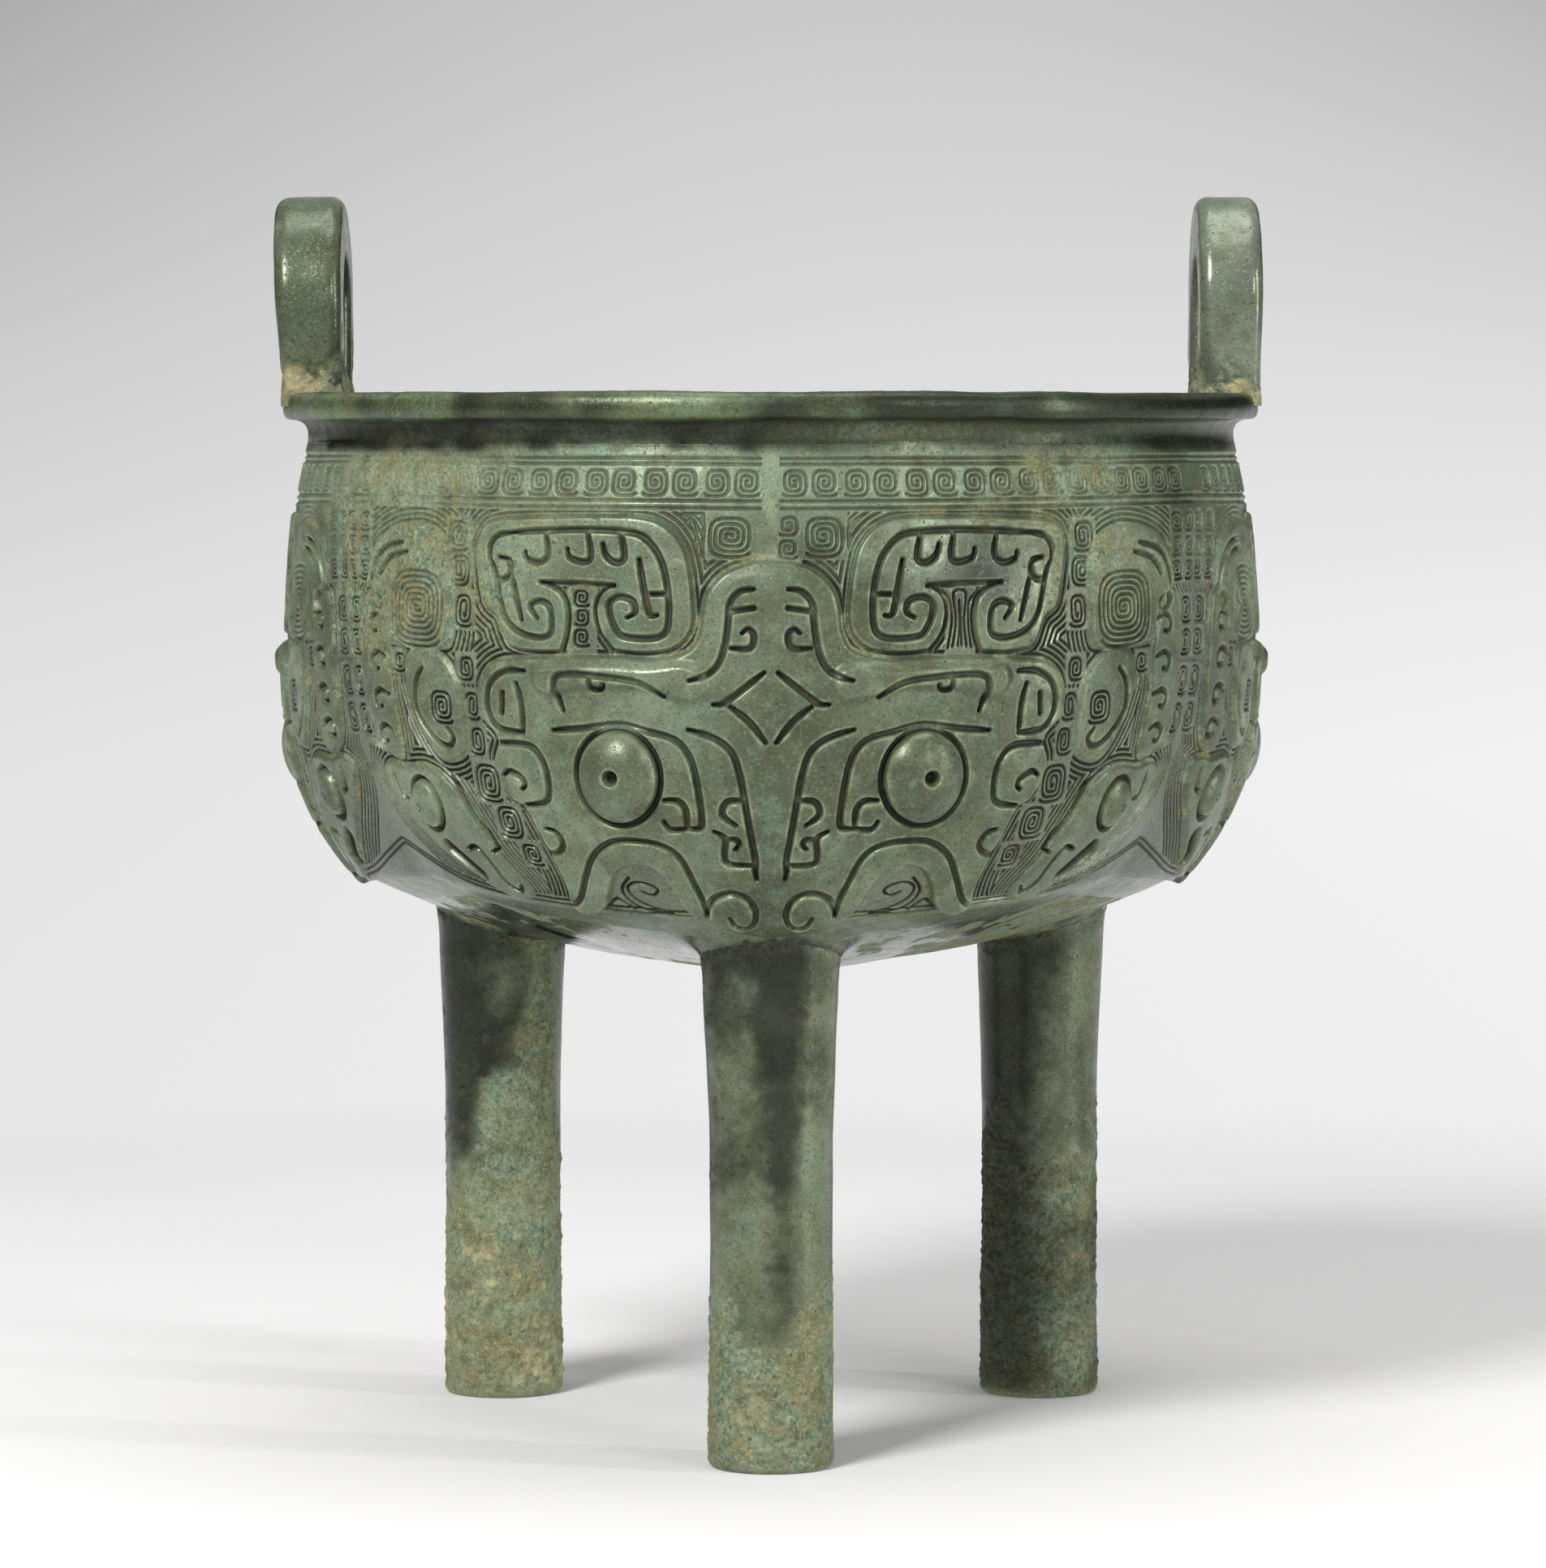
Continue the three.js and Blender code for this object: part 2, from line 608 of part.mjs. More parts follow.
// A waisted column with a rounded foot, flaring where it meets the bowl; it runs up into it.
function legColumn(gap) {
  const flareTop = LEG_ROOF + LEG_FLARE_LENGTH;
  const flareFoot = LEG_ROOF - LEG_FLARE_LENGTH;
  const waist = flareFoot - LEG_WAIST_HEIGHT;
  const foot = LEG_FOOT_RADIUS + gap;
  const top = LEG_TOP_RADIUS + gap;
  const side = new THREE.Path();
  side.moveTo(0, 0);
  side.lineTo(foot - FOOT_ROUND, 0);
  side.quadraticCurveTo(foot, 0, foot, FOOT_ROUND);
  side.bezierCurveTo(
    LEG_WAIST_RADIUS + gap,
    waist - LEG_WAIST_HEIGHT / 3,
    LEG_WAIST_RADIUS + gap,
    waist + LEG_WAIST_HEIGHT / 3,
    top,
    flareFoot,
  );
  side.quadraticCurveTo(top, LEG_ROOF, top + LEG_FLARE, flareTop);
  side.lineTo(0, flareTop);
  return new THREE.LatheGeometry(side.getPoints(3), LEG_SIDES).rotateX(Math.PI / 2);
}

function leg(envelope, angle) {
  const column = solidOf(onLegCircle(legColumn(0), angle));
  const bore = solidOf(onLegCircle(rod(LEG_BORE_RADIUS, BORE_FLOOR, NECK_HEIGHT), angle));
  return column.subtract(envelope).subtract(bore);
}

function legCore(angle) {
  const radius = LEG_BORE_RADIUS - CLEARANCE;
  return solidOf(onLegCircle(rod(radius, BORE_FLOOR, CORE_TOP), angle));
}

function legTenon(angle) {
  const radius = LEG_BORE_RADIUS - CLEARANCE;
  const top = LEG_ROOF + WALL / 2;
  return solidOf(onLegCircle(rod(radius, LEG_ROOF - LEG_TENON_LENGTH, top), angle));
}

// Chaplets

function chapletBlock(angle, ringRadius, gap) {
  const side = CHAPLET_SIDE + 2 * gap;
  const block = new THREE.BoxGeometry(side, side, 2 * (LOBE_KEEL_RISE + VALLEY_KEEL_LIFT + WALL));
  block.translate(0, -ringRadius, STANDING_HEIGHT);
  return solidOf(block.rotateZ(angle));
}

const chapletPlaces = [];
for (let i = 0; i < LOBE_COUNT; i++) {
  chapletPlaces.push({ angle: i * LOBE_ANGLE, ringRadius: INNER_CHAPLET_RADIUS });
  chapletPlaces.push({ angle: (i + 0.5) * LOBE_ANGLE, ringRadius: OUTER_CHAPLET_RADIUS });
}

// Assembly

const lobes = [
  { name: "front", angle: 0 },
  { name: "right", angle: LOBE_ANGLE },
  { name: "left", angle: -LOBE_ANGLE },
];

const vessel = new THREE.Group();
vessel.name = "li_ding";

const shell = bowlShell();
const envelope = bowlEnvelope(CLEARANCE);

let bowl = shell;
for (const { angle } of lobes) bowl = addMask(bowl, angle);
for (const { angle } of lobes) bowl = bowl.add(legTenon(angle));
for (const mortise of earTenons(CLEARANCE)) {
  bowl = bowl.subtract(mortise).subtract(mirrored(mortise));
}
chapletPlaces.forEach(({ angle, ringRadius }, i) => {
  const chaplet = shell.intersect(chapletBlock(angle, ringRadius, 0));
  bowl = bowl.subtract(chapletBlock(angle, ringRadius, CLEARANCE));
  vessel.add(meshOf(chaplet, `chaplet_${i + 1}`, spacerBronze));
});
vessel.add(meshOf(bowl, "bowl", bronze));

const rightEar = ear(RIGHT_EAR_TOP_THICKNESS, RIGHT_EAR_LEAN);
const leftEar = mirrored(ear(LEFT_EAR_TOP_THICKNESS, LEFT_EAR_LEAN));
vessel.add(meshOf(rightEar, "ear_right", darkBronze));
vessel.add(meshOf(leftEar, "ear_left", darkBronze));

for (const { name, angle } of lobes) {
  vessel.add(meshOf(leg(envelope, angle), `leg_${name}`, crustedBronze));
  vessel.add(meshOf(legCore(angle), `leg_core_${name}`, firedClay));
}

export default vessel;
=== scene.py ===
"""Dresses a cast-bronze li ding, a three-lobed cauldron with animal masks, round its CAD frame.

Drawing sizes are millimetres. The masks are drawn flat, as across the girth from a lobe's crown
and rise up the wall from its keel, and are laid round the lobes as real relief.
"""

import math

import bpy
import numpy as np
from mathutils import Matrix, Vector


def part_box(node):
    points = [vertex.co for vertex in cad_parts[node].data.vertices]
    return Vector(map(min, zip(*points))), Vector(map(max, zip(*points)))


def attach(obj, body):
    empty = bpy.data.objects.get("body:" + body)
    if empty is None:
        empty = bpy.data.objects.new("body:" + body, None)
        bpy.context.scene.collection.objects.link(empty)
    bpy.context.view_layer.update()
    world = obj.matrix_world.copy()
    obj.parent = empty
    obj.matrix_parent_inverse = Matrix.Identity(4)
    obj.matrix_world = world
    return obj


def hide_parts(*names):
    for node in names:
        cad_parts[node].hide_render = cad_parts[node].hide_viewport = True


bl_info = {
    "name": "Bronze li ding",
    "version": (1, 0, 0),
    "blender": (4, 5, 0),
    "location": "3D View > Sidebar > Li ding",
    "description": "Builds a cast and patinated bronze cauldron round its CAD frame",
    "category": "Object",
}

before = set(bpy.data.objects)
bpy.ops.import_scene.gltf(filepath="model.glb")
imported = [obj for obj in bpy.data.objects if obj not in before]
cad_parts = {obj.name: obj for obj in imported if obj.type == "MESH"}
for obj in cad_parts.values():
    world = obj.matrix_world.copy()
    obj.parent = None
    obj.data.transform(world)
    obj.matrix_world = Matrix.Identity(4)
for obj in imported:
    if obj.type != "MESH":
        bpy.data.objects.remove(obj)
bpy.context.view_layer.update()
BODY = "root"
MM = 0.001

# Sizes that the frame gives
BOWL_LOW, BOWL_HIGH = (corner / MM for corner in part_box("bowl"))
CORE_LOW, CORE_HIGH = (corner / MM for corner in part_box("leg_core_front"))
_, EAR_HIGH = (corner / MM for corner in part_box("ear_right"))
STANDING_HEIGHT = BOWL_LOW.z
LIP_TOP = BOWL_HIGH.z
EAR_HEIGHT = EAR_HIGH.z - LIP_TOP
LEG_CIRCLE = -(CORE_LOW.y + CORE_HIGH.y) / 2

# Bowl section
LOBE_COUNT = 3
LOBE_ANGLE = 2 * math.pi / LOBE_COUNT
LOBES = {"front": 0.0, "right": LOBE_ANGLE, "left": -LOBE_ANGLE}
NECK_RADIUS = 95.5
LIP_HEIGHT = 10
LIP_OVERHANG = 5
LIP_EDGE = 5.2
LIP_ROUND = 1.6
WALL = 5
LOBE_KEEL_RISE = 17.5
KEEL_HEIGHT = STANDING_HEIGHT + LOBE_KEEL_RISE
NECK_HEIGHT = LIP_TOP - LIP_HEIGHT
LIP_RADIUS = NECK_RADIUS + LIP_OVERHANG
KEEL_PULL = 14
NECK_PULL = 14
NECK_FLARE = 3
UNDERSIDE_FLAT = 34
UNDERSIDE_PULL = 16
LOBE_SECTION = {
    "swell": 6.3,
    "belly": 43.5,
    "draw": 9.5,
    "lift": 0,
    "slope": 45,
    "low_pull": 24,
    "high_pull": 22,
}
VALLEY_SECTION = {
    "swell": 1.5,
    "belly": 59.5,
    "draw": 15.5,
    "lift": 5.5,
    "slope": 55,
    "low_pull": 26,
    "high_pull": 16,
}
CREASE_SOFTNESS = 0.07
KEEL_SOFTNESS = 1.6
KEEL_SAMPLES = 7

# Drawing of half a lobe, from its crown to the valley
GIRTH_RADIUS = 100
DRAWN_RISE = 98
VALLEY_ACROSS = GIRTH_RADIUS * LOBE_ANGLE / 2
DRAWN_LOW = -12
UNDERSIDE_RECESS = 0.7
SILL = 1.6
# How half a lobe is meshed: panels side by side, columns in each and rows
FRONT_MESH = {"panels": 5, "columns": 130, "rows": 700}
REAR_MESH = {"panels": 2, "columns": 190, "rows": 380}
ROUND_STEPS = 720
# Steps of the fine outside to one of the plain inside, on the wall and round the underside
COARSE = 10
COARSE_ROUND = 6

# Ears
EAR_THICKNESS = 12.6
EAR_TOP_THICKNESS = {"left": 14.2, "right": 12.8}
EAR_LEAN = {"left": math.radians(2), "right": math.radians(0.3)}
EAR_BASE_WIDTH = 38
EAR_FULL_WIDTH = 44
EAR_BAND = 12
EAR_ROUND = 2.6
EAR_SETBACK = 0.6
EAR_ROOT = 2.5
EAR_FILLET = 1.5
EAR_FILLET_REACH = 1.4

# Legs
LEG_TOP_RADIUS = 13.4
LEG_WAIST_RADIUS = 11.8
LEG_FOOT_RADIUS = 12.5
LEG_WAIST_HEIGHT = 42
LEG_FLARE = 2.4
LEG_FLARE_LENGTH = 9
FOOT_ROUND = 1.8
LEG_ROOT = 2.5
LEG_FILLET = 3.4
LEG_FILLET_REACH = 2.6
# Sets each leg apart in the random fields, so that no two are alike
LEG_SHIFT = 60.0

# Chaplets
CHAPLET_SIDE = 9
INNER_CHAPLET_RADIUS = 22
OUTER_CHAPLET_RADIUS = 50
CHAPLET_PROUD = 0.12

# Raised plates: a point given twice is a corner
FACE = (
    (-6, 75), (-6, 75), (0, 75), (4.5, 74.5), (9, 72.5), (12, 69), (13, 65), (13.5, 61), (15, 58),
    (18, 56.5), (23, 55.7), (30.5, 56), (41, 55.6), (49.5, 55), (55.5, 54.3), (59.5, 51.5),
    (60.6, 47.5), (60, 43), (56.5, 39.5), (56, 37.5), (57.2, 34), (56, 29.7), (53.5, 26),
    (51, 24.8), (48.5, 18.6), (46.7, 12.7), (46, 7.5), (46.8, 1.6), (46.8, 1.6), (42.7, -0.8),
    (37, 3), (34.8, 7.5), (32, 12.3), (27.7, 14), (23.6, 12.9), (20.8, 8.2), (18.3, 2.2),
    (14, -0.9), (14, -0.9), (7, -3.9), (0, -4.9), (-6, -4.9), (-6, -4.9),
)  # fmt: skip
HORN = (
    (41, 56.6), (41, 56.6), (48, 56.3), (53.3, 57.4), (56, 62.7), (59.6, 65.8), (61.4, 74.8),
    (61, 80), (57, 82.6), (44, 83.4), (27.5, 83.6), (21, 82), (17.4, 78.4), (15.8, 73.8),
    (14.9, 68), (14.6, 63), (15.9, 59.7), (19, 57.4), (24.7, 56.7), (30.6, 57.2), (30.6, 57.2),
    (33.1, 60.5), (34.2, 65), (33.3, 68.2), (31.3, 69.8), (31.3, 69.8), (45.3, 70.2),
    (45.3, 70.2), (41.5, 68.4), (39.9, 65), (40, 60.3),
)  # fmt: skip
DRAGON_HEAD = (
    (68, 57.5), (67.6, 66), (68, 73), (70, 78), (76, 81), (84, 80.5), (91, 77.5), (94.5, 72.5),
    (95, 68), (91.5, 65.5), (88.6, 61), (88, 57), (84, 56), (72, 56),
)  # fmt: skip
DRAGON_WING = (
    (80, 54.6), (71.5, 54.6), (66, 49.2), (64.4, 38.5), (66.3, 34), (72.7, 32.6), (78, 38.2),
    (82, 48),
)  # fmt: skip
DRAGON_BODY = (
    (91.5, 64), (96, 66), (97.6, 58), (97.6, 44), (95.4, 35), (91, 31.5), (87, 32), (86.6, 38),
    (88, 46), (87.6, 54), (89, 60),
)  # fmt: skip
DRAGON_JAW = (
    (87, 29.6), (79, 30.6), (72.5, 28), (67, 20.5), (62.5, 11.5), (57.5, 3.4), (62, 0.6),
    (70, 3), (79, 8), (87, 14), (94, 21), (97, 27.5), (93, 30),
)  # fmt: skip
EYE = {"place": (29.4, 32.6), "half": (8, 9), "bulge": 4.1}
DRAGON_EYE = {"place": (81.2, 22), "half": (4.6, 5.4), "bulge": 1.9}
NOSTRIL = {"place": (8.3, 4), "half": (6.2, 6.2), "bulge": 1.1}
PUPIL = {"place": (29.6, 33.1), "half": (1.5, 1.5), "bulge": -2.4}
DRAGON_PUPIL = {"place": (81.8, 22), "half": (0.9, 0.9), "bulge": -0.8}
JAW_SLOT = ((79, 12), (75.6, 9.4), (71.7, 6))
JAW_SLOT_WIDTH = 3.6
JAW_SLOT_DEPTH = 2
# Swells of the face: the brow's ridge, the nose, then middle, reach and height of the others
BROW = {"line": ((15, 51), (24, 53.6), (34, 53.8), (43, 51.5)), "width": 7, "depth": 1.5}
NOSE = {"width": 9, "top": 52, "fade": 14, "height": 1.3}
SWELLS = {
    "crest": (0, 69, 7, 6, 0.9),
    "cheek": (50, 31, 5, 6, 0.6),
    "jaw": (28, 24, 12, 6, 0.5),
    "socket": (30, 45.5, 11, 3, -0.6),
}
FACE_EDGE = 3
DOME_FULLNESS = 0.7
PLATE_SOFTNESS = 0.22
# How far beyond a plate's edge the drawing knows its distance
PLATE_MARGIN = 8

# Bold grooves on the plates
BOLD_LINES = (
    # horn
    ((53, 80), (44, 80.6), (35.5, 80.8), (27.3, 80.3), (24, 78.8), (21.2, 75), (19.7, 69.2),
     (19.4, 63.8), (20.1, 60.8), (22.8, 59.7), (28.2, 60), (30, 61.7), (31.1, 64.3), (31.1, 66.6),
     (29.2, 67.7), (26.6, 67), (26, 64.8), (27.5, 63.7)),
    ((58, 74.6), (56.5, 71.8), (55.3, 67), (54.3, 64), (52.8, 61.7), (50, 59.9), (46, 59.2),
     (43.6, 60.1), (43.3, 62.5), (44, 65.5), (46.2, 66.5), (48.2, 65.4), (46.6, 63.1)),
    ((45.4, 79.8), (44.7, 75.7), (46.6, 74.1), (49.3, 74.8), (49.8, 76.2)),
    ((36.2, 80), (35.4, 75.5), (36.8, 74.4), (39.8, 75.2), (40.5, 77)),
    ((29.3, 80), (28.5, 75.3), (30.3, 74.4), (32.3, 75.8), (33, 78)),
    ((25.5, 75), (24.4, 69.5), (23.2, 64.5), (21.7, 64.2)),
    ((22.9, 68.3), (20.2, 68.4)),
    ((55.8, 75), (53.4, 74.3), (53, 71.9), (54.5, 70.5), (56.5, 71)),
    ((52.7, 71.6), (51.4, 67), (50.1, 62.6)),
    ((53, 80), (56.2, 79.4), (58, 77.4), (58, 74.6)),
    # crest and brow
    ((3.2, 69.3), (5.8, 68.9), (7.7, 66.6), (8, 63.2), (8.6, 58.6), (9.9, 54.8), (12.1, 52.7),
     (15.1, 51.7)),
    ((7.3, 65.1), (3.2, 65.7)),
    ((7.6, 58), (3.9, 58), (3.2, 60.5), (4.3, 61.7), (5.4, 60.9)),
    ((1.3, 53.3), (5, 50.3), (8.7, 47.4), (10.8, 47.1)),
    ((7.6, 46.8), (3.9, 43.8), (1, 40)),
    ((40.4, 45.1), (41.4, 48.5), (41.2, 51.6), (37.9, 52.4), (30.5, 52), (24.6, 51.1), (20, 48.5)),
    ((34.2, 52), (34.2, 49.8), (32.4, 49.6), (31.6, 50.6)),
    # ear
    ((48.9, 52.5), (53.2, 52.3), (56.5, 50.1), (57.6, 46.9), (57, 43.3), (54.5, 40.7), (49.2, 40.3)),
    ((49.2, 40.3), (49.6, 46.2), (50.7, 50)),
    ((53.9, 47.9), (54.1, 43.9)),
    # eyelid and tear duct
    ((42.7, 41.1), (36.3, 41.8), (29, 42.8), (23, 41.6), (18, 40.2), (15.2, 36.8), (13.9, 31.4),
     (13.2, 25), (13.7, 23), (16, 22.9)),
    ((16.1, 22.9), (16.3, 26.6), (17.7, 28.3), (20.4, 28.4)),
    ((20.6, 24.2), (19.3, 22.6), (16.1, 22.9)),
    # cheek
    ((55.7, 37.8), (48.6, 37.9), (45.6, 35.7), (44.3, 31.4), (45.1, 26.8), (50.2, 25.6)),
    ((54.6, 31.4), (53, 32.4), (50.2, 31.4), (49.5, 29.8), (50.4, 28.9)),
    ((46.4, 20.9), (44.2, 20.3), (43.1, 18.2), (44.2, 16.2), (46.9, 15.5), (48.3, 18.3)),
    # snout
    ((15.5, 42.2), (10.6, 40.7), (7.3, 38.1), (5.8, 33.9), (5.1, 30), (4.6, 26.8), (3.7, 21.1),
     (3, 16.8), (3.1, 14.6), (2.8, 12.6)),
    ((4.9, 28.8), (8.2, 28.5), (9.2, 25.9), (6.7, 23.9)),
    ((10.9, 22.4), (8.8, 21), (9.1, 17.8), (8.3, 15.7), (3, 15.8)),
    ((8.8, 20.8), (6.8, 21), (6.1, 20), (6.9, 18.9)),
    # jaw
    ((46.8, 1.7), (43.1, 4.4), (39.5, 11), (36.5, 16), (32.4, 19.1), (28, 20), (21.9, 19.3),
     (18.2, 16.6), (16, 11.2), (14.3, 6), (13.9, 2.4)),
    ((13.9, 2.2), (13.4, 5), (11.6, 7.8), (8.1, 9.2), (4.7, 8), (3.2, 4.8), (3.7, 1.6), (5.4, 0.4),
     (7.6, 1), (8.7, 3.2)),
    # dragon
    ((82.3, 77.3), (88.6, 75.7), (92.3, 71.7), (93.7, 65.3), (90.8, 62.4), (89.4, 64.4), (91, 65.8)),
    ((80.6, 75.4), (86.6, 73.8), (89.8, 70.2)),
    ((76, 51.6), (78.4, 48.4), (78.4, 42.6), (73.4, 37), (69.6, 35.8), (68, 37.6), (69.6, 39.6)),
    ((72, 12.6), (68.6, 13.6), (66.2, 10.5), (64, 5.6), (60.6, 3.4), (59.4, 5)),
    ((71, 29), (66.6, 21), (62.4, 14.4), (64, 13)),
    ((91.6, 27.4), (90.8, 23), (88.4, 22.2)),
)  # fmt: skip
# Finer grooves on the plates: the notch in a horn
NOTCH_LINES = (
    ((30.4, 69.9), (38, 70.3), (46, 70.2)),
    ((30.6, 57.4), (33.1, 60.5), (34.2, 65), (33.3, 68.2), (31.3, 69.8)),
    ((41, 56.8), (40, 60.3), (39.9, 65), (41.5, 68.4), (45.3, 70.2)),
)
BODY_HOOK = ((88.6, 0), (91.6, 0.8), (93.6, -0.6), (93, -2.8), (91, -2.6))
BODY_HOOK_RISES = (61, 53, 45, 37.5)
# A groove's flank, in shares of its width from its middle, and how it thins toward its ends
GROOVE_FLANK = (0.66, 0.32)
THINNED = 0.35
THINNED_LENGTH = 3
GROOVE_SOFTNESS = 0.1
EYE_RIM_GAP = 0.45
# Widths and depths of other grooves, as shares of those in the settings
BOLD_WIDTH = 1.06
NOTCH_WIDTH, NOTCH_DEPTH = 0.75, 0.85
HORN_RIM_DEPTH = 0.9
BAND_DEPTH = 0.85
# A place is hollow if it lies this far below its surroundings, and pale on its raised edge, as wear and
# as a painted highlight, if this far above
HOLLOW_REACH = 0.6
HOLLOW_DEPTH = 0.75
WORN_AND_HIGHLIT_HEIGHT = 0.4
# How black the thin lines are: in the ground, the ground over the horns, the band and on plates
LINE_BLACK = {"ground": 0.76, "over_horns": -0.34, "band": 0.2, "plate": 0.55, "wing": 0.4}

# Thin grooves cut in the ground
GROUND_LINES = (
    ((2, 95.2), (VALLEY_ACROSS, 95.2)),
    ((2, 94.1), (VALLEY_ACROSS, 94.1)),
    ((2, 86.8), (VALLEY_ACROSS, 86.8)),
    ((2, 85.3), (VALLEY_ACROSS, 85.3)),
    ((38, 1.2), (34.8, 4), (31.4, 1.2)),
    ((21, 1), (26, 1.9), (30.2, 4.2), (31.6, 7), (29.6, 8.8), (26.2, 8.5), (24.6, 7), (26, 5.6),
     (28.4, 6.5)),
    ((22.4, 0.6), (27.4, 1), (31.6, 3.2), (33, 6.6), (30.6, 10)),
)  # fmt: skip
# Lower border of the ornament, which rises into the valley between two lobes
SKIRT = ((15.4, -0.2), (36, 0.4), (60, 0.8), (78, 1.8), (92, 5), (VALLEY_ACROSS, 9))
SKIRT_SPACING = 1.3
# Thunder spirals in the ground: middle, half width, half height and pitch
GROUND_SPIRALS = (
    (66.8, 79.1, 2.8, 3.3, 1),
    (66.2, 72.1, 2.8, 3.3, 1),
    (64.8, 64, 2.4, 3.5, 1),
    (64.3, 52.2, 2.1, 2.6, 0.95),
    (62.9, 44.6, 2.1, 3, 0.95),
    (62.2, 37.4, 2.1, 3, 0.95),
    (60.4, 28.8, 3.6, 4.2, 1.05),
    (56.9, 20.6, 3.4, 3.8, 1.05),
    (53, 13.4, 2.6, 2.8, 1),
    (97.2, 81.4, 2.4, 2.3, 0.95),
    (97.4, 76.2, 2.4, 2.3, 0.95),
    (97.4, 71, 2.4, 2.3, 0.95),
    (102.6, 81.4, 1.9, 2.3, 0.95),
    (102.6, 76.2, 1.9, 2.3, 0.95),
    (102.6, 71, 1.9, 2.3, 0.95),
    (101.6, 62.4, 2.4, 3, 0.95),
    (101.8, 55.4, 2.4, 3, 0.95),
    (102, 47, 2.3, 3.4, 0.95),
    (101.6, 38.8, 2.3, 3.4, 0.95),
    (84.4, 52.2, 2, 2.2, 0.95),
)
DRAGON_COIL = (77.4, 64, 8.4, 8.2, 1.2)
WING_SPIRAL = (70.6, 44, 3.4, 3.6, 1.05)
BAND = {"middle": 90.5, "first": 4.6, "spacing": 6.2, "half": (2.75, 2.9), "pitch": 1}
# What differs between the two halves of a mask
CREST_SPIRALS = {
    "left": ((7.8, 79.8, 4.5, 4.2, 1.05),),
    "right": ((10.2, 79.8, 4.1, 4.2, 1.05), (3.4, 77.4, 2, 2.1, 0.95), (3.4, 82, 2, 2.1, 0.95)),
}
CREST_LINES = {
    "left": (
        ((13.4, 76), (13.4, 83.6), (17.6, 84)),
        ((14.6, 77.4), (14.7, 82.4), (16.4, 82.8)),
    ),
    "right": (((15.2, 77.4), (15.4, 82), (18, 84)),),
}
T_SPIRALS = ((37.1, 59.6, 1.8, 1.9, 0.85), (37.2, 63.6, 1.6, 1.8, 0.85), (37.3, 67.4, 1.8, 1.8, 0.85))
T_LINES = (
    ((34.4, 57.6), (35.4, 63), (34.8, 67.4), (32.6, 69)),
    ((39.4, 57.6), (38.9, 63), (39.6, 67.4), (43.4, 69.3)),
    ((35.4, 57.8), (36.3, 63), (35.9, 68.4), (38.5, 68.4), (38, 63), (38.4, 57.8)),
    ((36.6, 58), (37.1, 62.8), (37, 66.8), (37.3, 62.8), (37.4, 58)),
)
SPIRAL_SQUARENESS = 0.62
NOTCH = (37.2, 63.5, 3.4, 7.6)
JAW_ARCH = (28, 5.5, 12, 9)
# The plain strip over the crest, where two sections of the mould met
SEAM = (0, 80, 2.8, 6)
BAND_FOOT = 84.6
SPIRAL_MARGIN = 0.7
# Lines that follow a plate's edge: the first one's distance from it and the spacing
FRAME_START = 0.9
FRAME_SPACING = 1.15


def linear(hex_colour):
    """An sRGB hex colour as the linear colour that Blender's sockets hold."""
    parts = [int(hex_colour[i : i + 2], 16) / 255 for i in (1, 3, 5)]
    return [p / 12.92 if p <= 0.04045 else ((p + 0.055) / 1.055) ** 2.4 for p in parts] + [1.0]


def millimetres(name, description, default, least=0.0):
    """A size setting."""
    description = f"{description}, in mm"
    return bpy.props.FloatProperty(name=name, description=description, default=default, min=least)


def paint(name, description, hex_colour):
    """A colour setting."""
    return bpy.props.FloatVectorProperty(
        name=name, description=description, subtype="COLOR", size=4, default=linear(hex_colour)
    )


class LidingSizes(bpy.types.PropertyGroup):
    """Relief sizes that a maker would change."""

    mask_relief: millimetres("Mask relief", "Face above the sunk ground", 1.6)
    horn_relief: millimetres("Horn relief", "Horns above the sunk ground", 0.7)
    dragon_relief: millimetres("Dragon relief", "Side dragons above the ground", 0.75)
    plate_edge: millimetres("Plate edge", "Rounded edge of a raised plate", 1, 0.3)
    groove_width: millimetres("Groove width", "Width of a bold groove", 1.1, 0.3)
    groove_depth: millimetres("Groove depth", "Depth of a bold groove", 1.25)
    ground_width: millimetres("Thunder line width", "Width of a thin groove", 0.6, 0.2)
    ground_depth: millimetres("Thunder line depth", "Depth of a thin groove", 0.7)
    casting_wobble: millimetres("Casting wobble", "Unevenness of the cast skin", 0.22)
    crust_height: millimetres("Crust height", "Height of burial crust grains", 0.32)


class LidingColours(bpy.types.PropertyGroup):
    """Colours of the patina, the crust and the sweep."""

    patina_dark: paint("Dark patina", "Deep green of the patina", "#434b37")
    patina: paint("Patina", "Common green of the patina", "#636f57")
    patina_light: paint("Light patina", "Pale green of the patina", "#85967b")
    groove: paint("Groove", "Dark deposit in the grooves", "#14170f")
    # Dark deposit in the grooves and pits, and the painted shade in grooves and recesses
    crust: paint("Crust", "Ochre burial crust", "#897f55")
    verdigris: paint("Verdigris", "Pale green crust", "#949d7c")
    soil: paint("Soil", "Olive-brown soil stain", "#666a46")
    cream: paint("Cream crust", "Palest thick crust", "#c0b68a")
    malachite: paint("Malachite", "Bluer green of the patina", "#657e6a")
    ground: paint("Ground", "Greyer patina of the sunk ground", "#696f61")
    bare: paint("Bare skin", "Grey, glossy skin free of growth", "#656c61")
    # Dark smoky patina, also used for the painted shadow of the lip at the neck
    soot_and_shade_tone: paint("Soot", "Dark smoky patina", "#23251e")
    rust: paint("Rust", "Red-brown copper oxide", "#7a4a24")
    sweep: paint("Sweep", "Pale paper of the floor", "#f3f2f2")
    # The painted falloff of light at the top of the glowing sweep
    sweep_top: paint("Sweep top", "Greyer paper high on the sweep", "#c2c1c2")


# Lines and curves


def ease(share):
    """A smooth step from 0 to 1."""
    share = np.clip(share, 0, 1)
    return share * share * (3 - 2 * share)


def bell(away):
    """1 where away is 0, falling smoothly to 0 on both sides."""
    return np.exp(-(away**2))


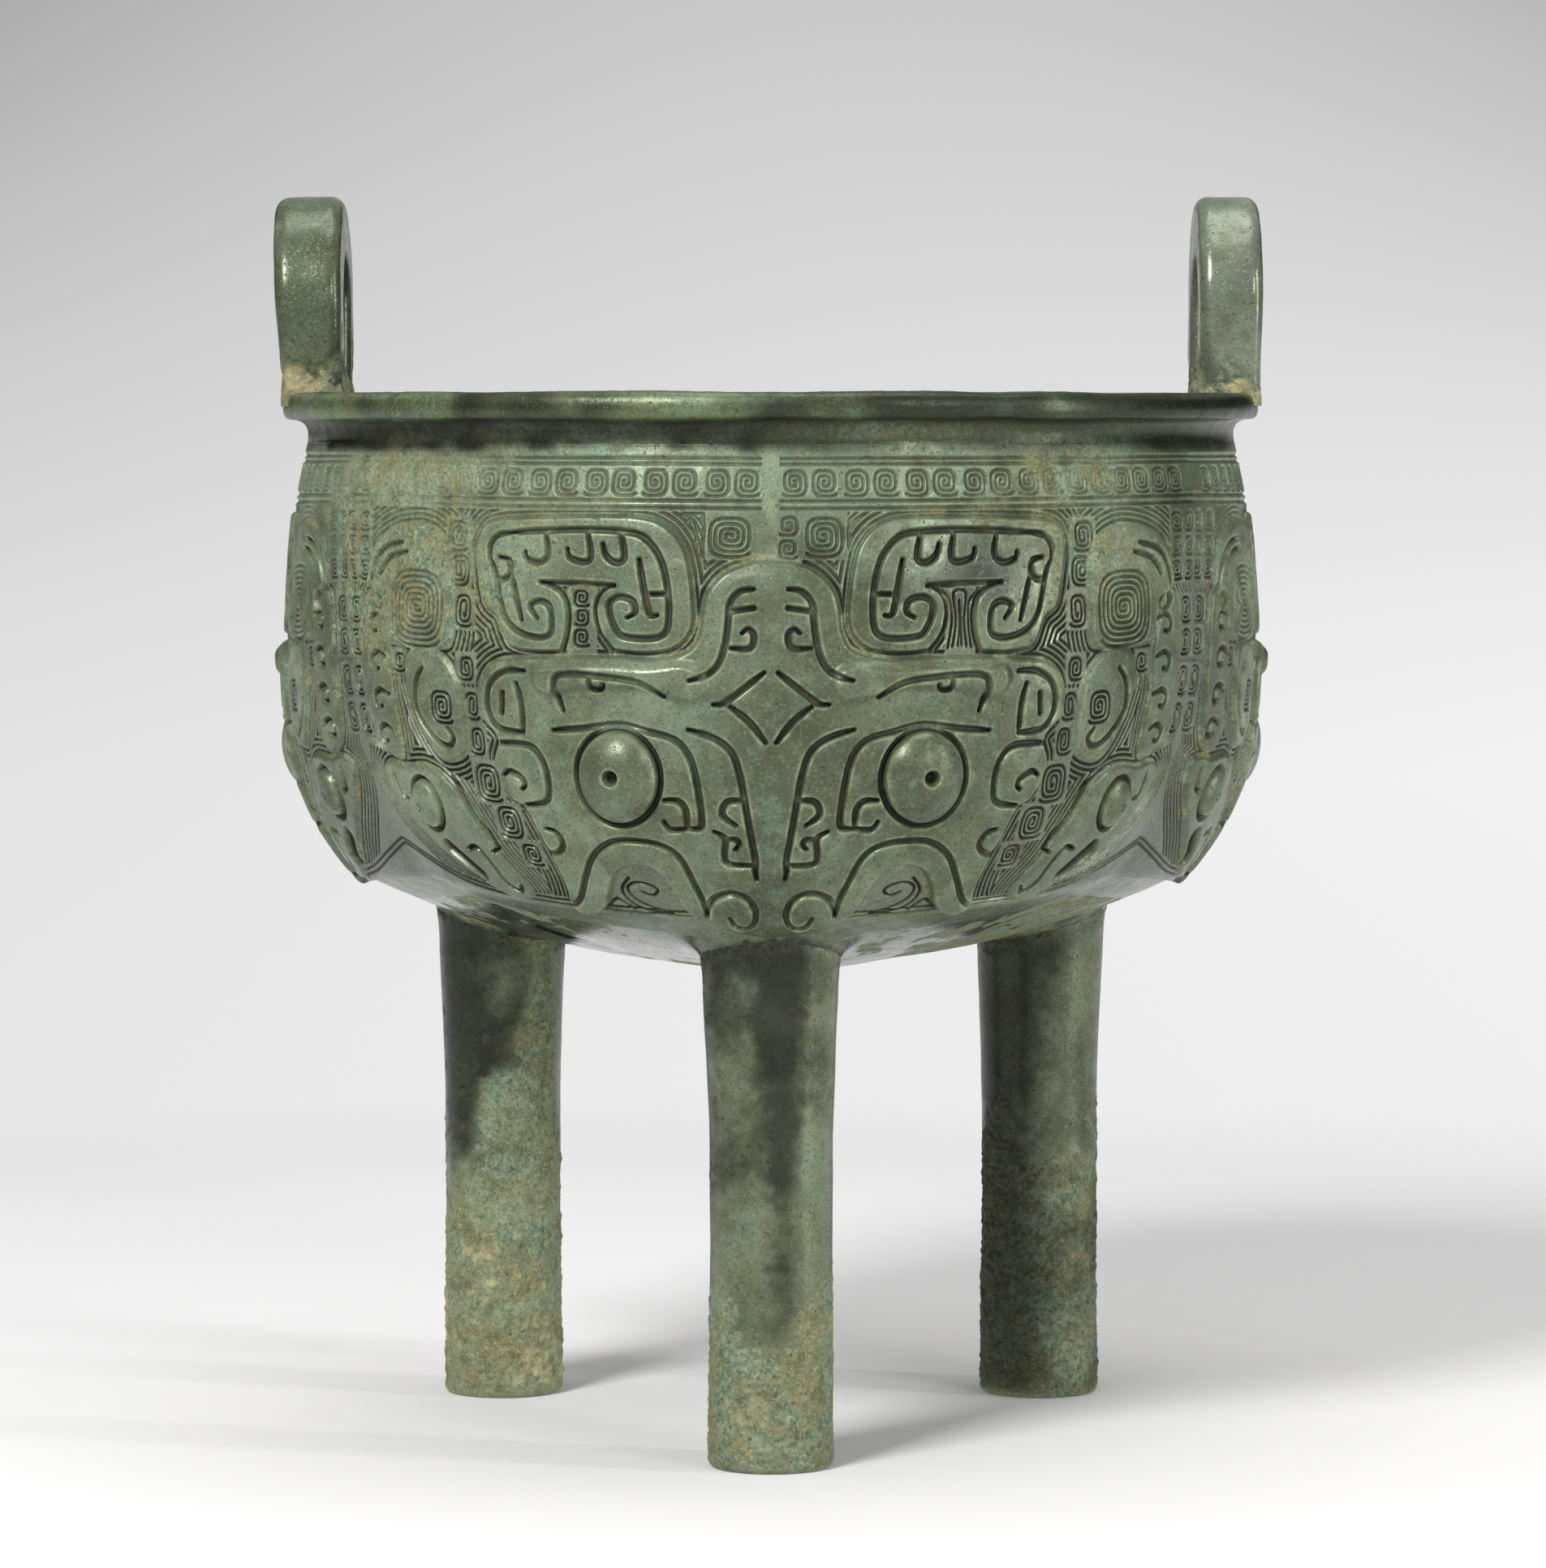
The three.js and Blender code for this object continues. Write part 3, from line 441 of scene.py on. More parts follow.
def bezier(*pulls, steps=160):
    """A Bezier curve of three or four points."""
    t = np.linspace(0, 1, steps)[:, None]
    order = len(pulls) - 1
    weights = [math.comb(order, i) * t**i * (1 - t) ** (order - i) for i in range(order + 1)]
    return sum(w * np.array(p, float) for w, p in zip(weights, pulls))


def joined(*lines):
    """Lines laid end to end as one line."""
    return np.concatenate([np.asarray(line, float) for line in lines])


def lengths_along(line):
    """How far along a line each of its points lies."""
    return np.concatenate([[0], np.cumsum(np.linalg.norm(np.diff(line, axis=0), axis=1))])


def at_shares(line, shares):
    """Places on a line, at shares of its length."""
    lengths = lengths_along(line)
    wanted = np.asarray(shares) * lengths[-1]
    return np.stack([np.interp(wanted, lengths, line[:, i]) for i in range(line.shape[1])], axis=-1)


def flowing(points, closed=False, steps=4):
    """A smooth line through points; a point given twice stays a corner."""
    points = np.array(points, float)
    if len(points) < 3:
        return points
    if closed:
        padded = np.concatenate([points[-1:], points, points[:2]])
    else:
        padded = np.concatenate([points[:1], points, points[-1:]])
    before, start, end, after = padded[:-3], padded[1:-2], padded[2:-1], padded[3:]
    line = []
    for t in np.arange(steps) / steps:
        bend = 2 * before - 5 * start + 4 * end - after
        twist = 3 * (start - end) + after - before
        line.append(start + 0.5 * t * (end - before + t * (bend + t * twist)))
    line = np.stack(line, axis=1).reshape(-1, 2)
    return line if closed else np.concatenate([line, points[-1:]])


def thunder_spiral(across, rise, half_width, half_height, pitch, turned):
    """A squared-round spiral wound inward from its rim."""
    turns = min(half_width, half_height) / pitch - 0.1
    wound = np.linspace(0, turns, int(32 * turns) + 8)
    turn = 2 * math.pi * wound + 1.25 * math.pi
    cosine, sine = np.cos(turn), np.sin(turn)
    right = np.sign(cosine) * np.abs(cosine) ** SPIRAL_SQUARENESS * (half_width - pitch * wound)
    up = np.sign(sine) * np.abs(sine) ** SPIRAL_SQUARENESS * (half_height - pitch * wound)
    return np.stack([across + (-right if turned else right), rise + up], axis=-1)


# The bowl's plain surface


def wall_curve(swell, belly, draw, lift, slope, low_pull, high_pull):
    """Section of the wall, from keel to neck, as radius and height."""
    keel = np.array([NECK_RADIUS - draw, KEEL_HEIGHT + lift])
    crown = np.array([NECK_RADIUS + swell, KEEL_HEIGHT + belly])
    slope = math.radians(slope)
    start = keel + KEEL_PULL * np.array([math.cos(slope), math.sin(slope)])
    lower = bezier(keel, start, crown - (0, low_pull), crown)
    neck = np.array([NECK_RADIUS, NECK_HEIGHT])
    upper = bezier(crown, crown + (0, high_pull), neck + (NECK_FLARE, -NECK_PULL), neck)
    return joined(lower, upper[1:])


def underside_curve(draw, lift, **_):
    """Section of the underside, from the axis to the keel, as radius and height."""
    keel = np.array([NECK_RADIUS - draw, KEEL_HEIGHT + lift])
    pull = keel - (UNDERSIDE_PULL, UNDERSIDE_PULL / 2)
    return bezier((0, STANDING_HEIGHT), (UNDERSIDE_FLAT, STANDING_HEIGHT), pull, keel)


WALLS = [wall_curve(**section) for section in (LOBE_SECTION, VALLEY_SECTION)]
UNDERSIDES = [underside_curve(**section) for section in (LOBE_SECTION, VALLEY_SECTION)]
UNDERSIDE_LENGTH = lengths_along(UNDERSIDES[0])[-1]


def sections(rises):
    """A lobe's and a valley's radius and height at each rise, with the keel's edge softened."""
    rises = np.asarray(rises, float)
    soft = []
    for wall, underside in zip(WALLS, UNDERSIDES):
        places = []
        for shift in np.linspace(-KEEL_SOFTNESS, KEEL_SOFTNESS, KEEL_SAMPLES):
            near = np.clip(1 - np.abs(rises) / (3 * KEEL_SOFTNESS), 0, 1)
            moved = rises + shift * near
            on_wall = at_shares(wall, np.clip(moved / DRAWN_RISE, 0, 1))
            below = at_shares(underside, np.clip(1 + moved / UNDERSIDE_LENGTH, 0, 1))
            places.append(np.where(moved[:, None] >= 0, on_wall, below))
        soft.append(np.mean(places, axis=0))
    return soft


def lobe_share(angles):
    """1 on the crown of a lobe and about 0 in a valley; angle 0 is the front."""
    return np.sqrt(np.cos(LOBE_COUNT / 2 * angles) ** 2 + CREASE_SOFTNESS**2)


def plain_surface(angles, rises):
    """Points of the plain outside, in rows of one rise and columns of one angle."""
    lobe, valley = sections(rises)
    share = lobe_share(angles)[None, :, None]
    place = valley[:, None] + share * (lobe - valley)[:, None]
    return spun(angles[None, :], place[..., 0], place[..., 1])


def spun(angles, radii, heights):
    """Points at angles round the axis from the front."""
    parts = np.broadcast_arrays(radii * np.sin(angles), -radii * np.cos(angles), heights)
    return np.stack(parts, axis=-1)


def off_front(points):
    """Angles of points round the axis, from the front."""
    return np.arctan2(points[..., 0], -points[..., 1])


def turned(angles, start):
    """Angles from a start angle, the short way round."""
    return (angles - start + math.pi) % (2 * math.pi) - math.pi


def leg_axis(lobe_angle):
    """Where the middle of the leg under a lobe meets the floor."""
    return spun(lobe_angle, LEG_CIRCLE, 0.0)


def off_leg(points, lobe_angle):
    """How far points lie outside the column of the leg under a lobe."""
    axis = leg_axis(lobe_angle)
    return np.hypot(points[..., 0] - axis[0], points[..., 1] - axis[1]) - LEG_TOP_RADIUS


def underside_height(x, y):
    """Height of the plain underside over places on the floor."""
    shares = np.linspace(0, 1, 200)
    lobe, valley = (at_shares(curve, shares) for curve in UNDERSIDES)
    heights = []
    for px, py in zip(np.ravel(x), np.ravel(y)):
        section = valley + lobe_share(math.atan2(px, -py)) * (lobe - valley)
        heights.append(np.interp(math.hypot(px, py), section[:, 0], section[:, 1]))
    return np.reshape(heights, np.shape(x))


def facing(points, around=False):
    """Unit normals of a grid of points, on the side where columns run right and rows run up."""
    if around:
        across = np.roll(points, -1, axis=1) - np.roll(points, 1, axis=1)
    else:
        across = np.gradient(points, axis=1)
    normals = np.cross(across, np.gradient(points, axis=0))
    return normals / np.maximum(np.linalg.norm(normals, axis=-1, keepdims=True), 1e-9)


# Unevenness of the casting and the crust on it

LATTICE = 32
# Spots on the bowl: degrees round from the front, height, reach and amount
CRUSTED_PLACES = (
    (-50, 186, 29, 0.95),
    (-58, 165, 22, 0.15),
    (-33, 174, 16, 0.3),
    (42, 188, 20, 0.6),
    (78, 172, 22, 0.4),
    (30, 205, 16, 0.35),
    (-20, 205, 18, 0.4),
    (-75, 128, 18, 0.3),
    (170, 180, 40, 0.6),
    (-130, 140, 34, 0.5),
    (120, 120, 26, 0.4),
)
# Patches made paler by a positive amount and darker by a negative one: patina tone, and painted light
# and shade, a lit right brow and a darker right side and lower middle of the mask
PALE_AND_PAINTED_LIGHT_PLACES = (
    (-24, 186, 12, 0.25),
    (0, 176, 7, 0.3),
    (4, 142, 18, -0.5),
    (30, 182, 18, -0.6),
    (26, 146, 22, -0.35),
    (21, 161, 8, 0.35),
    (62, 150, 28, -0.4),
    (-58, 155, 20, -0.5),
    (11, 171, 7, -0.6),
    (0, 125, 10, -0.45),
    (14, 139, 9, -0.3),
)
# Painted light on the band under the neck, which faces up: paler there, fading out to the right
PAINTED_LIGHT_BAND = {"height": 196, "reach": 7, "amount": 0.55}
GLOSSY_HORN = {"degrees": 23, "height": 178, "reach": 10, "amount": 1.1}
# Degrees round to the glossy spot on the neck, where the painted shade is lifted as a painted highlight
NECK_GLOSS_AND_HIGHLIGHT_DEGREES = 13
LEAST_CRUST = -0.28
MOST_CRUST = 0.78
COMMON_PALENESS = 0.5
# How far crust fills the lines, in the band and below it
BURIED_BAND, BURIED_BELOW = 1.1, 0.25


def grain(points, size, seed):
    """A smooth random field in space, about -1 to 1, with bumps about size apart."""
    lattice = np.random.default_rng(seed).uniform(-1, 1, (LATTICE,) * 3)
    place = points / size
    cell = np.floor(place).astype(int)
    part = ease(place - cell)
    total = np.zeros(points.shape[:-1])
    for corner in np.ndindex(2, 2, 2):
        index = (cell + corner) % LATTICE
        weight = np.prod(np.where(corner, part, 1 - part), axis=-1)
        total += weight * lattice[index[..., 0], index[..., 1], index[..., 2]]
    return total


def grains(points, *layers):
    """A sum of random fields, each given by its weight, size and seed."""
    return sum(weight * grain(points, size, seed) for weight, size, seed in layers)


def spots(points, places):
    """A sum of soft spots on the bowl."""
    total = np.zeros(points.shape[:-1])
    for degrees, height, reach, amount in places:
        across = GIRTH_RADIUS * turned(off_front(points), math.radians(degrees))
        total += amount * bell(np.hypot(across, points[..., 2] - height) / reach)
    return total


def crust_on_bowl(points):
    """How much burial crust lies on places of the bowl."""
    amount = LEAST_CRUST + spots(points, CRUSTED_PLACES)
    amount += grains(points, (0.3, 9, 21), (0.24, 3.2, 22))
    return np.clip(amount, 0, MOST_CRUST)


def paleness_and_light_on_bowl(points):
    """How pale the patina is on places of the bowl, from 0 to 1, with painted light on the band under
    the neck and painted light and shade in patches.
    """
    above = (points[..., 2] - PAINTED_LIGHT_BAND["height"]) / PAINTED_LIGHT_BAND["reach"]
    fade = 1 - 0.8 * ease((np.degrees(off_front(points)) - 22) / 14)
    amount = COMMON_PALENESS + grains(points, (0.16, 21, 63), (0.12, 7, 64))
    amount += PAINTED_LIGHT_BAND["amount"] * bell(above) * fade + spots(points, PALE_AND_PAINTED_LIGHT_PLACES)
    return np.clip(amount, 0, 1)


def bare_on_bowl(points):
    """How bare of growth, and so how glossy, the bowl is: low down, at the neck and on a horn."""
    angle, height = np.degrees(off_front(points)), points[..., 2]
    low = ease((KEEL_HEIGHT + 26 - height + 10 * grain(points, 14, 68)) / 22)
    low *= 0.2 + 0.8 * ease((np.abs(angle) - 26) / 16)
    shiny = 0.9 * bell((angle - NECK_GLOSS_AND_HIGHLIGHT_DEGREES) / 8) + ease((-56 - angle) / 12)
    neck = 0.6 * shiny * ease((height - NECK_HEIGHT + 3) / 4)
    beside = bell((angle - GLOSSY_HORN["degrees"]) / GLOSSY_HORN["reach"])
    horn = beside * bell((height - GLOSSY_HORN["height"]) / GLOSSY_HORN["reach"])
    return np.maximum(np.maximum(low, neck), GLOSSY_HORN["amount"] * horn)


def soot_and_lip_shadow_on_bowl(points):
    """How dark the bowl is painted, from 0 to 1: smoky patina in blotches, most at the neck, where it
    is also the painted shadow of the lip.
    """
    angle = np.degrees(off_front(points))
    blotch = grains(points, (0.5, 13, 61), (0.35, 4.5, 62))
    # Painted shadow of the lip on the neck, with a sharp lower edge, over the smoky patina
    neck = ease((points[..., 2] - NECK_HEIGHT + 2.6 + 1.6 * blotch) / 2.6)
    neck *= 0.8 + 0.2 * ease((30 - angle) / 24)
    neck *= 0.75 + 0.25 * ease((angle + 120) / 60)
    # Painted highlight: the shade is lifted where the highlight on the glossy neck falls
    neck *= 1 - 0.65 * bell((angle - NECK_GLOSS_AND_HIGHLIGHT_DEGREES) / 9)
    return np.clip(neck * (0.93 + 0.25 * blotch) + 0.12 * blotch, 0, 1)


def leg_fillet(points):
    """How far the underside swells down to meet the legs, in mm."""
    swell = np.zeros(points.shape[:-1])
    for lobe_angle in LOBES.values():
        off = np.clip(off_leg(points, lobe_angle), 0, None)
        swell = np.maximum(swell, np.exp(-off / LEG_FILLET_REACH))
    return LEG_FILLET * swell * ease((KEEL_HEIGHT + 2 - points[..., 2]) / 6)


def dark_round_leg_roots(points):
    """How far the legs' darkening spreads on to the underside round their roots, from 0 to 1."""
    close = leg_fillet(points) / LEG_FILLET
    ragged = grains(points, (0.3, 5, 69), (0.15, 1.6, 70))
    return 0.75 * ease((close - 0.55 + ragged) / 0.5)


def cast_skin(points, sizes):
    """Slow unevenness that a hand-made mould leaves."""
    return sizes.casting_wobble * grains(points, (1, 24, 11), (0.55, 11, 12), (0.18, 3.4, 13))


def crusted_skin(points, crust, sizes):
    """The cast skin's unevenness, with rough grains standing on the crusted places."""
    coarse = np.abs(grain(points, 2.3, 31)) + 0.7 * grain(points, 1.1, 32)
    return cast_skin(points, sizes) + crust * sizes.crust_height * (0.4 + coarse)


# Relief of half a lobe


def groove(away, width):
    """A groove's share of its depth at a distance from its line."""
    edge, bed = GROOVE_FLANK
    return ease((edge - away / width) / (edge - bed))


class Drawing:
    """Half a lobe's flat drawing: a grid of across and rise, on which heights and cuts are laid."""

    def __init__(self, panels, columns, rows):
        self.panels, self.columns = panels, columns
        self.across = np.linspace(0, VALLEY_ACROSS, panels * columns + 1)
        self.rise = np.linspace(DRAWN_LOW, DRAWN_RISE, rows + 1)
        self.right, self.up = self.across[None, :], self.rise[:, None]
        self.step = self.rise[1] - self.rise[0]

    def blank(self, value=0.0):
        """A field with one value all over."""
        return np.full((len(self.rise), len(self.across)), value)

    def window(self, line, margin):
        """Rows and columns that hold a line and a margin round it."""
        low, high = np.min(line, axis=0) - margin, np.max(line, axis=0) + margin
        columns = slice(*np.searchsorted(self.across, (low[0], high[0])))
        return slice(*np.searchsorted(self.rise, (low[1], high[1]))), columns

    def away(self, start, end, rows, columns):
        """Distance of the places in a window from a straight stroke."""
        right, up = self.right[:, columns] - start[0], self.up[rows] - start[1]
        run, climb = end[0] - start[0], end[1] - start[1]
        along = np.clip((right * run + up * climb) / max(run * run + climb * climb, 1e-9), 0, 1)
        return np.hypot(right - along * run, up - along * climb)

    def border(self, line):
        """Rise of a line that runs across the drawing, at each place across."""
        across, rises = zip(*line)
        return np.interp(self.right, across, rises)

    def carve(self, cuts, line, width, depth, thinned=0.0):
        """Deepens a field of cuts along a line, which may thin toward its ends."""
        lengths = lengths_along(line)
        middles = (lengths[1:] + lengths[:-1]) / 2
        from_end = np.minimum(middles, lengths[-1] - middles)
        widths = width * (1 - thinned * ease(1 - from_end / THINNED_LENGTH))
        for start, end, wide in zip(line[:-1], line[1:], widths):
            window = self.window((start, end), wide)
            cut = depth * groove(self.away(start, end, *window), wide)
            cuts[window] = np.maximum(cuts[window], cut)

    def depth_inside(self, outline):
        """Distance of each place inside a closed outline; negative outside."""
        line = flowing(outline, closed=True)
        window = self.window(line, PLATE_MARGIN)
        right, up = self.right[:, window[1]], self.up[window[0]]
        nearest = np.full((up.size, right.size), 1e3)
        inside = np.zeros(nearest.shape, bool)
        for (a0, r0), (a1, r1) in zip(line, np.roll(line, -1, axis=0)):
            nearest = np.minimum(nearest, self.away((a0, r0), (a1, r1), *window))
            if r0 != r1:
                inside ^= ((r0 > up) != (r1 > up)) & (right < a0 + (up - r0) * (a1 - a0) / (r1 - r0))
        depth = self.blank(-1e3)
        depth[window] = np.where(inside, nearest, -nearest)
        return depth

    def dome(self, place, half, bulge):
        """Height of an oval boss, or of a pit where bulge is negative."""
        share = 1 - ((self.right - place[0]) / half[0]) ** 2 - ((self.up - place[1]) / half[1]) ** 2
        return bulge * np.clip(share, 0, 1) ** DOME_FULLNESS

    def mound(self, across, rise, width, height):
        """A soft swelling, 1 in its middle."""
        return bell((self.right - across) / width) * bell((self.up - rise) / height)

    def in_box(self, across, rise, half_width, half_height, margin=0.0):
        """Which places lie in a box."""
        beside = np.abs(self.right - across) < half_width + margin
        return beside & (np.abs(self.up - rise) < half_height + margin)

    def blurred(self, field, reach):
        """A field smoothed over about reach, as by a bell-shaped brush."""
        for _ in range(max(1, round(2 * (reach / self.step) ** 2))):
            for axis in (0, 1):
                margin = [(1, 1) if i == axis else (0, 0) for i in (0, 1)]
                wide = np.pad(field, margin, mode="reflect")
                low, high = np.delete(wide, (-1, -2), axis), np.delete(wide, (0, 1), axis)
                field = (low + 2 * field + high) / 4
        return field


def rounded_plate(depth, edge):
    """A raised plate's height share: a quarter round at its edge, then flat."""
    return np.sqrt(1 - (1 - np.clip(depth / edge, 0, 1)) ** 2)


def oval(place, half, grow):
    """A closed line round an oval, grown by a little."""
    turn = np.linspace(0, 2 * math.pi, 48)
    across = place[0] + (half[0] + grow) * np.cos(turn)
    return np.stack([across, place[1] + (half[1] + grow) * np.sin(turn)], axis=-1)


def raised_work(drawing, sizes):
    """Heights of the plates, bosses and swellings, and each place's depth inside the plates."""
    raised, apart = drawing.blank(), drawing.blank(-1e3)
    dragon = (DRAGON_HEAD, DRAGON_WING, DRAGON_BODY, DRAGON_JAW)
    plates = [(FACE, sizes.mask_relief), (HORN, sizes.horn_relief)]
    plates += [(outline, sizes.dragon_relief) for outline in dragon]
    for outline, relief in plates:
        depth = drawing.depth_inside(outline)
        apart = np.maximum(apart, depth)
        raised = np.maximum(raised, relief * rounded_plate(depth, sizes.plate_edge))
        if outline is FACE:
            on_face = ease(depth / FACE_EDGE)
    swell = drawing.blank()
    drawing.carve(swell, **BROW)
    below_top = ease((NOSE["top"] - drawing.up) / NOSE["fade"])
    swell += NOSE["height"] * bell(drawing.right / NOSE["width"]) * below_top
    for *place, height in SWELLS.values():
        swell += height * drawing.mound(*place)
    raised += on_face * swell
    for boss in (EYE, DRAGON_EYE, NOSTRIL):
        raised += drawing.dome(**boss)
    return raised, apart


def plate_cuts(drawing, sizes):
    """Depths of the bold grooves, hooks and pits, and of the thin spirals, on the plates."""
    cuts, thin = drawing.blank(), drawing.blank()
    for line in BOLD_LINES:
        drawing.carve(cuts, flowing(line), BOLD_WIDTH * sizes.groove_width, sizes.groove_depth, THINNED)
    for rise in BODY_HOOK_RISES:
        hook = [(a, rise + r) for a, r in BODY_HOOK]
        drawing.carve(cuts, flowing(hook), sizes.groove_width, sizes.groove_depth, THINNED)
    for boss in (EYE, DRAGON_EYE):
        rim = oval(boss["place"], boss["half"], EYE_RIM_GAP)
        drawing.carve(cuts, rim, sizes.groove_width, sizes.groove_depth)
    for line in NOTCH_LINES:
        width, depth = NOTCH_WIDTH * sizes.groove_width, NOTCH_DEPTH * sizes.groove_depth
        drawing.carve(cuts, flowing(line), width, depth)
    rim = flowing(HORN + HORN[:1])
    drawing.carve(cuts, rim, sizes.ground_width + 0.1, HORN_RIM_DEPTH * sizes.ground_depth)
    for spiral in (DRAGON_COIL, WING_SPIRAL):
        drawing.carve(thin, thunder_spiral(*spiral, False), sizes.ground_width, sizes.ground_depth)
    for pit in (PUPIL, DRAGON_PUPIL):
        cuts = np.maximum(cuts, -drawing.dome(**pit))
    return cuts, thin


def alternating(spirals):
    """Spirals with every second one turned the other way."""
    return [(spiral, i % 2) for i, spiral in enumerate(spirals)]


def ground_cuts(drawing, sizes, apart, side):
    """Depths of the thunder pattern in the ground, for one side of a mask."""
    cuts, boxed = drawing.blank(), drawing.blank(False)
    band = []
    for i in range(int((VALLEY_ACROSS - BAND["first"]) / BAND["spacing"])):
        middle = BAND["first"] + i * BAND["spacing"]
        band.append((middle, BAND["middle"], *BAND["half"], BAND["pitch"]))
    spirals = alternating(GROUND_SPIRALS + CREST_SPIRALS[side]) + alternating(band)
    skirts = (SKIRT, [(across, rise + SKIRT_SPACING) for across, rise in SKIRT])
    drawn = GROUND_LINES + CREST_LINES[side] + skirts
    if side == "left":
        spirals += alternating(T_SPIRALS)
    else:
        drawn += T_LINES
    for spiral, _ in spirals:
        boxed |= drawing.in_box(*spiral[:4], margin=SPIRAL_MARGIN)
    for box in (NOTCH, JAW_ARCH, SEAM):
        boxed |= drawing.in_box(*box)
    framed = ~boxed & (drawing.up < BAND_FOOT) & (drawing.up > drawing.border(SKIRT) + 2)
    for off in np.arange(FRAME_START, PLATE_MARGIN - 0.3, FRAME_SPACING):
        line = groove(np.abs(apart + off), sizes.ground_width)
        cuts = np.maximum(cuts, sizes.ground_depth * line * framed)
    lines = [thunder_spiral(*spiral, turned_over) for spiral, turned_over in spirals]
    for line in lines + [flowing(points) for points in drawn]:
        drawing.carve(cuts, line, sizes.ground_width, sizes.ground_depth)
    return cuts * ease((-apart - 0.2) / 0.5)


def relief_maps(drawing, sizes):
    """Heights of half a lobe's relief and the traits of its skin, for its left and right."""
    raised, apart = raised_work(drawing, sizes)
    cuts, plate_thin = plate_cuts(drawing, sizes)
    right, up = drawing.right, drawing.up
    recess = UNDERSIDE_RECESS * ease(-(up + SILL - 0.8) / 1.2) * ease(-apart / 1.5)
    smooth = drawing.blurred(raised, PLATE_SOFTNESS) - recess
    slots = drawing.blank()
    drawing.carve(slots, flowing(JAW_SLOT), JAW_SLOT_WIDTH, 1)
    cuts = np.maximum(cuts, JAW_SLOT_DEPTH * slots)
    in_band = ease((up - BAND_FOOT + 0.6) / 2)
    over_horns = ease((up - 70) / 4)
    in_wing = drawing.in_box(*WING_SPIRAL[:4], margin=0.4)
    sunk = ease((-apart - 0.1) / 0.5) * (up < BAND_FOOT) * (up > drawing.border(SKIRT))
    sunk = np.maximum(sunk * (1 - 0.85 * over_horns), in_wing)
    seam = ease(1.8 - right / 0.9) * ease((up - SEAM[1] + SEAM[3]) / 3)
    plate_black = (LINE_BLACK["plate"] + LINE_BLACK["wing"] * in_wing) * plate_thin
    black = LINE_BLACK["ground"] + LINE_BLACK["over_horns"] * over_horns + LINE_BLACK["band"] * in_band
    maps = {}
    for side in ("left", "right"):
        thin = (1 - (1 - BAND_DEPTH) * in_band) * ground_cuts(drawing, sizes, apart, side)
        deep = np.maximum(cuts, np.maximum(thin, plate_thin))
        heights = smooth - drawing.blurred(deep, GROOVE_SOFTNESS)
        around = drawing.blurred(heights, HOLLOW_REACH)
        blackened = np.maximum(black * thin, plate_black) / sizes.ground_depth
        # Hollow: depth below the surroundings, and the drawn thin lines; painted dark as deposit and as
        # shade
        hollow = np.maximum((around - heights) / HOLLOW_DEPTH, blackened)
        maps[side] = {
            "smooth": smooth,
            "cuts": smooth - heights,
            "hollow": np.clip(np.maximum(hollow, slots), 0, 1),
            # Pale on raised edges: wear, and a painted highlight along them
            "worn_and_highlit": np.clip((heights - around) / WORN_AND_HIGHLIT_HEIGHT, 0, 1) + 0.7 * seam,
            "nook": ease(1 - np.abs(apart + 0.7) / 1.4),
            "sunk": sunk,
        }
    return maps


# Meshes

# What the materials read at each point
TRAITS = ("hollow", "worn_and_highlit", "crust", "soot_and_shade", "pale", "bare", "sunk")
INSIDE_TRAITS = {"crust": 0.3, "soot_and_shade": 0.6, "pale": 0.5}
# Parts of the bake map: left, low, right and high; hems share one place in it
OUTSIDE_PATCH = (0.004, 0.004, 0.996, 0.86)
INSIDE_PATCH = (0.004, 0.88, 0.996, 0.996)
WHOLE_PATCH = (0.004, 0.004, 0.996, 0.98)
HIDDEN_UV = (0.5, 0.87)
FLOOR_ROWS = 61
LIP_ROWS = 72
EAR_RINGS = 240
EAR_COLUMNS = 104
LEG_ROWS = 400
LEG_COLUMNS = 240
CHAPLET_ROWS = 15
# Points on the ear's arch, on each corner of its band and on the rounding of a foot
ARCH_STEPS, CORNER_STEPS, FOOT_STEPS = 160, 24, 30


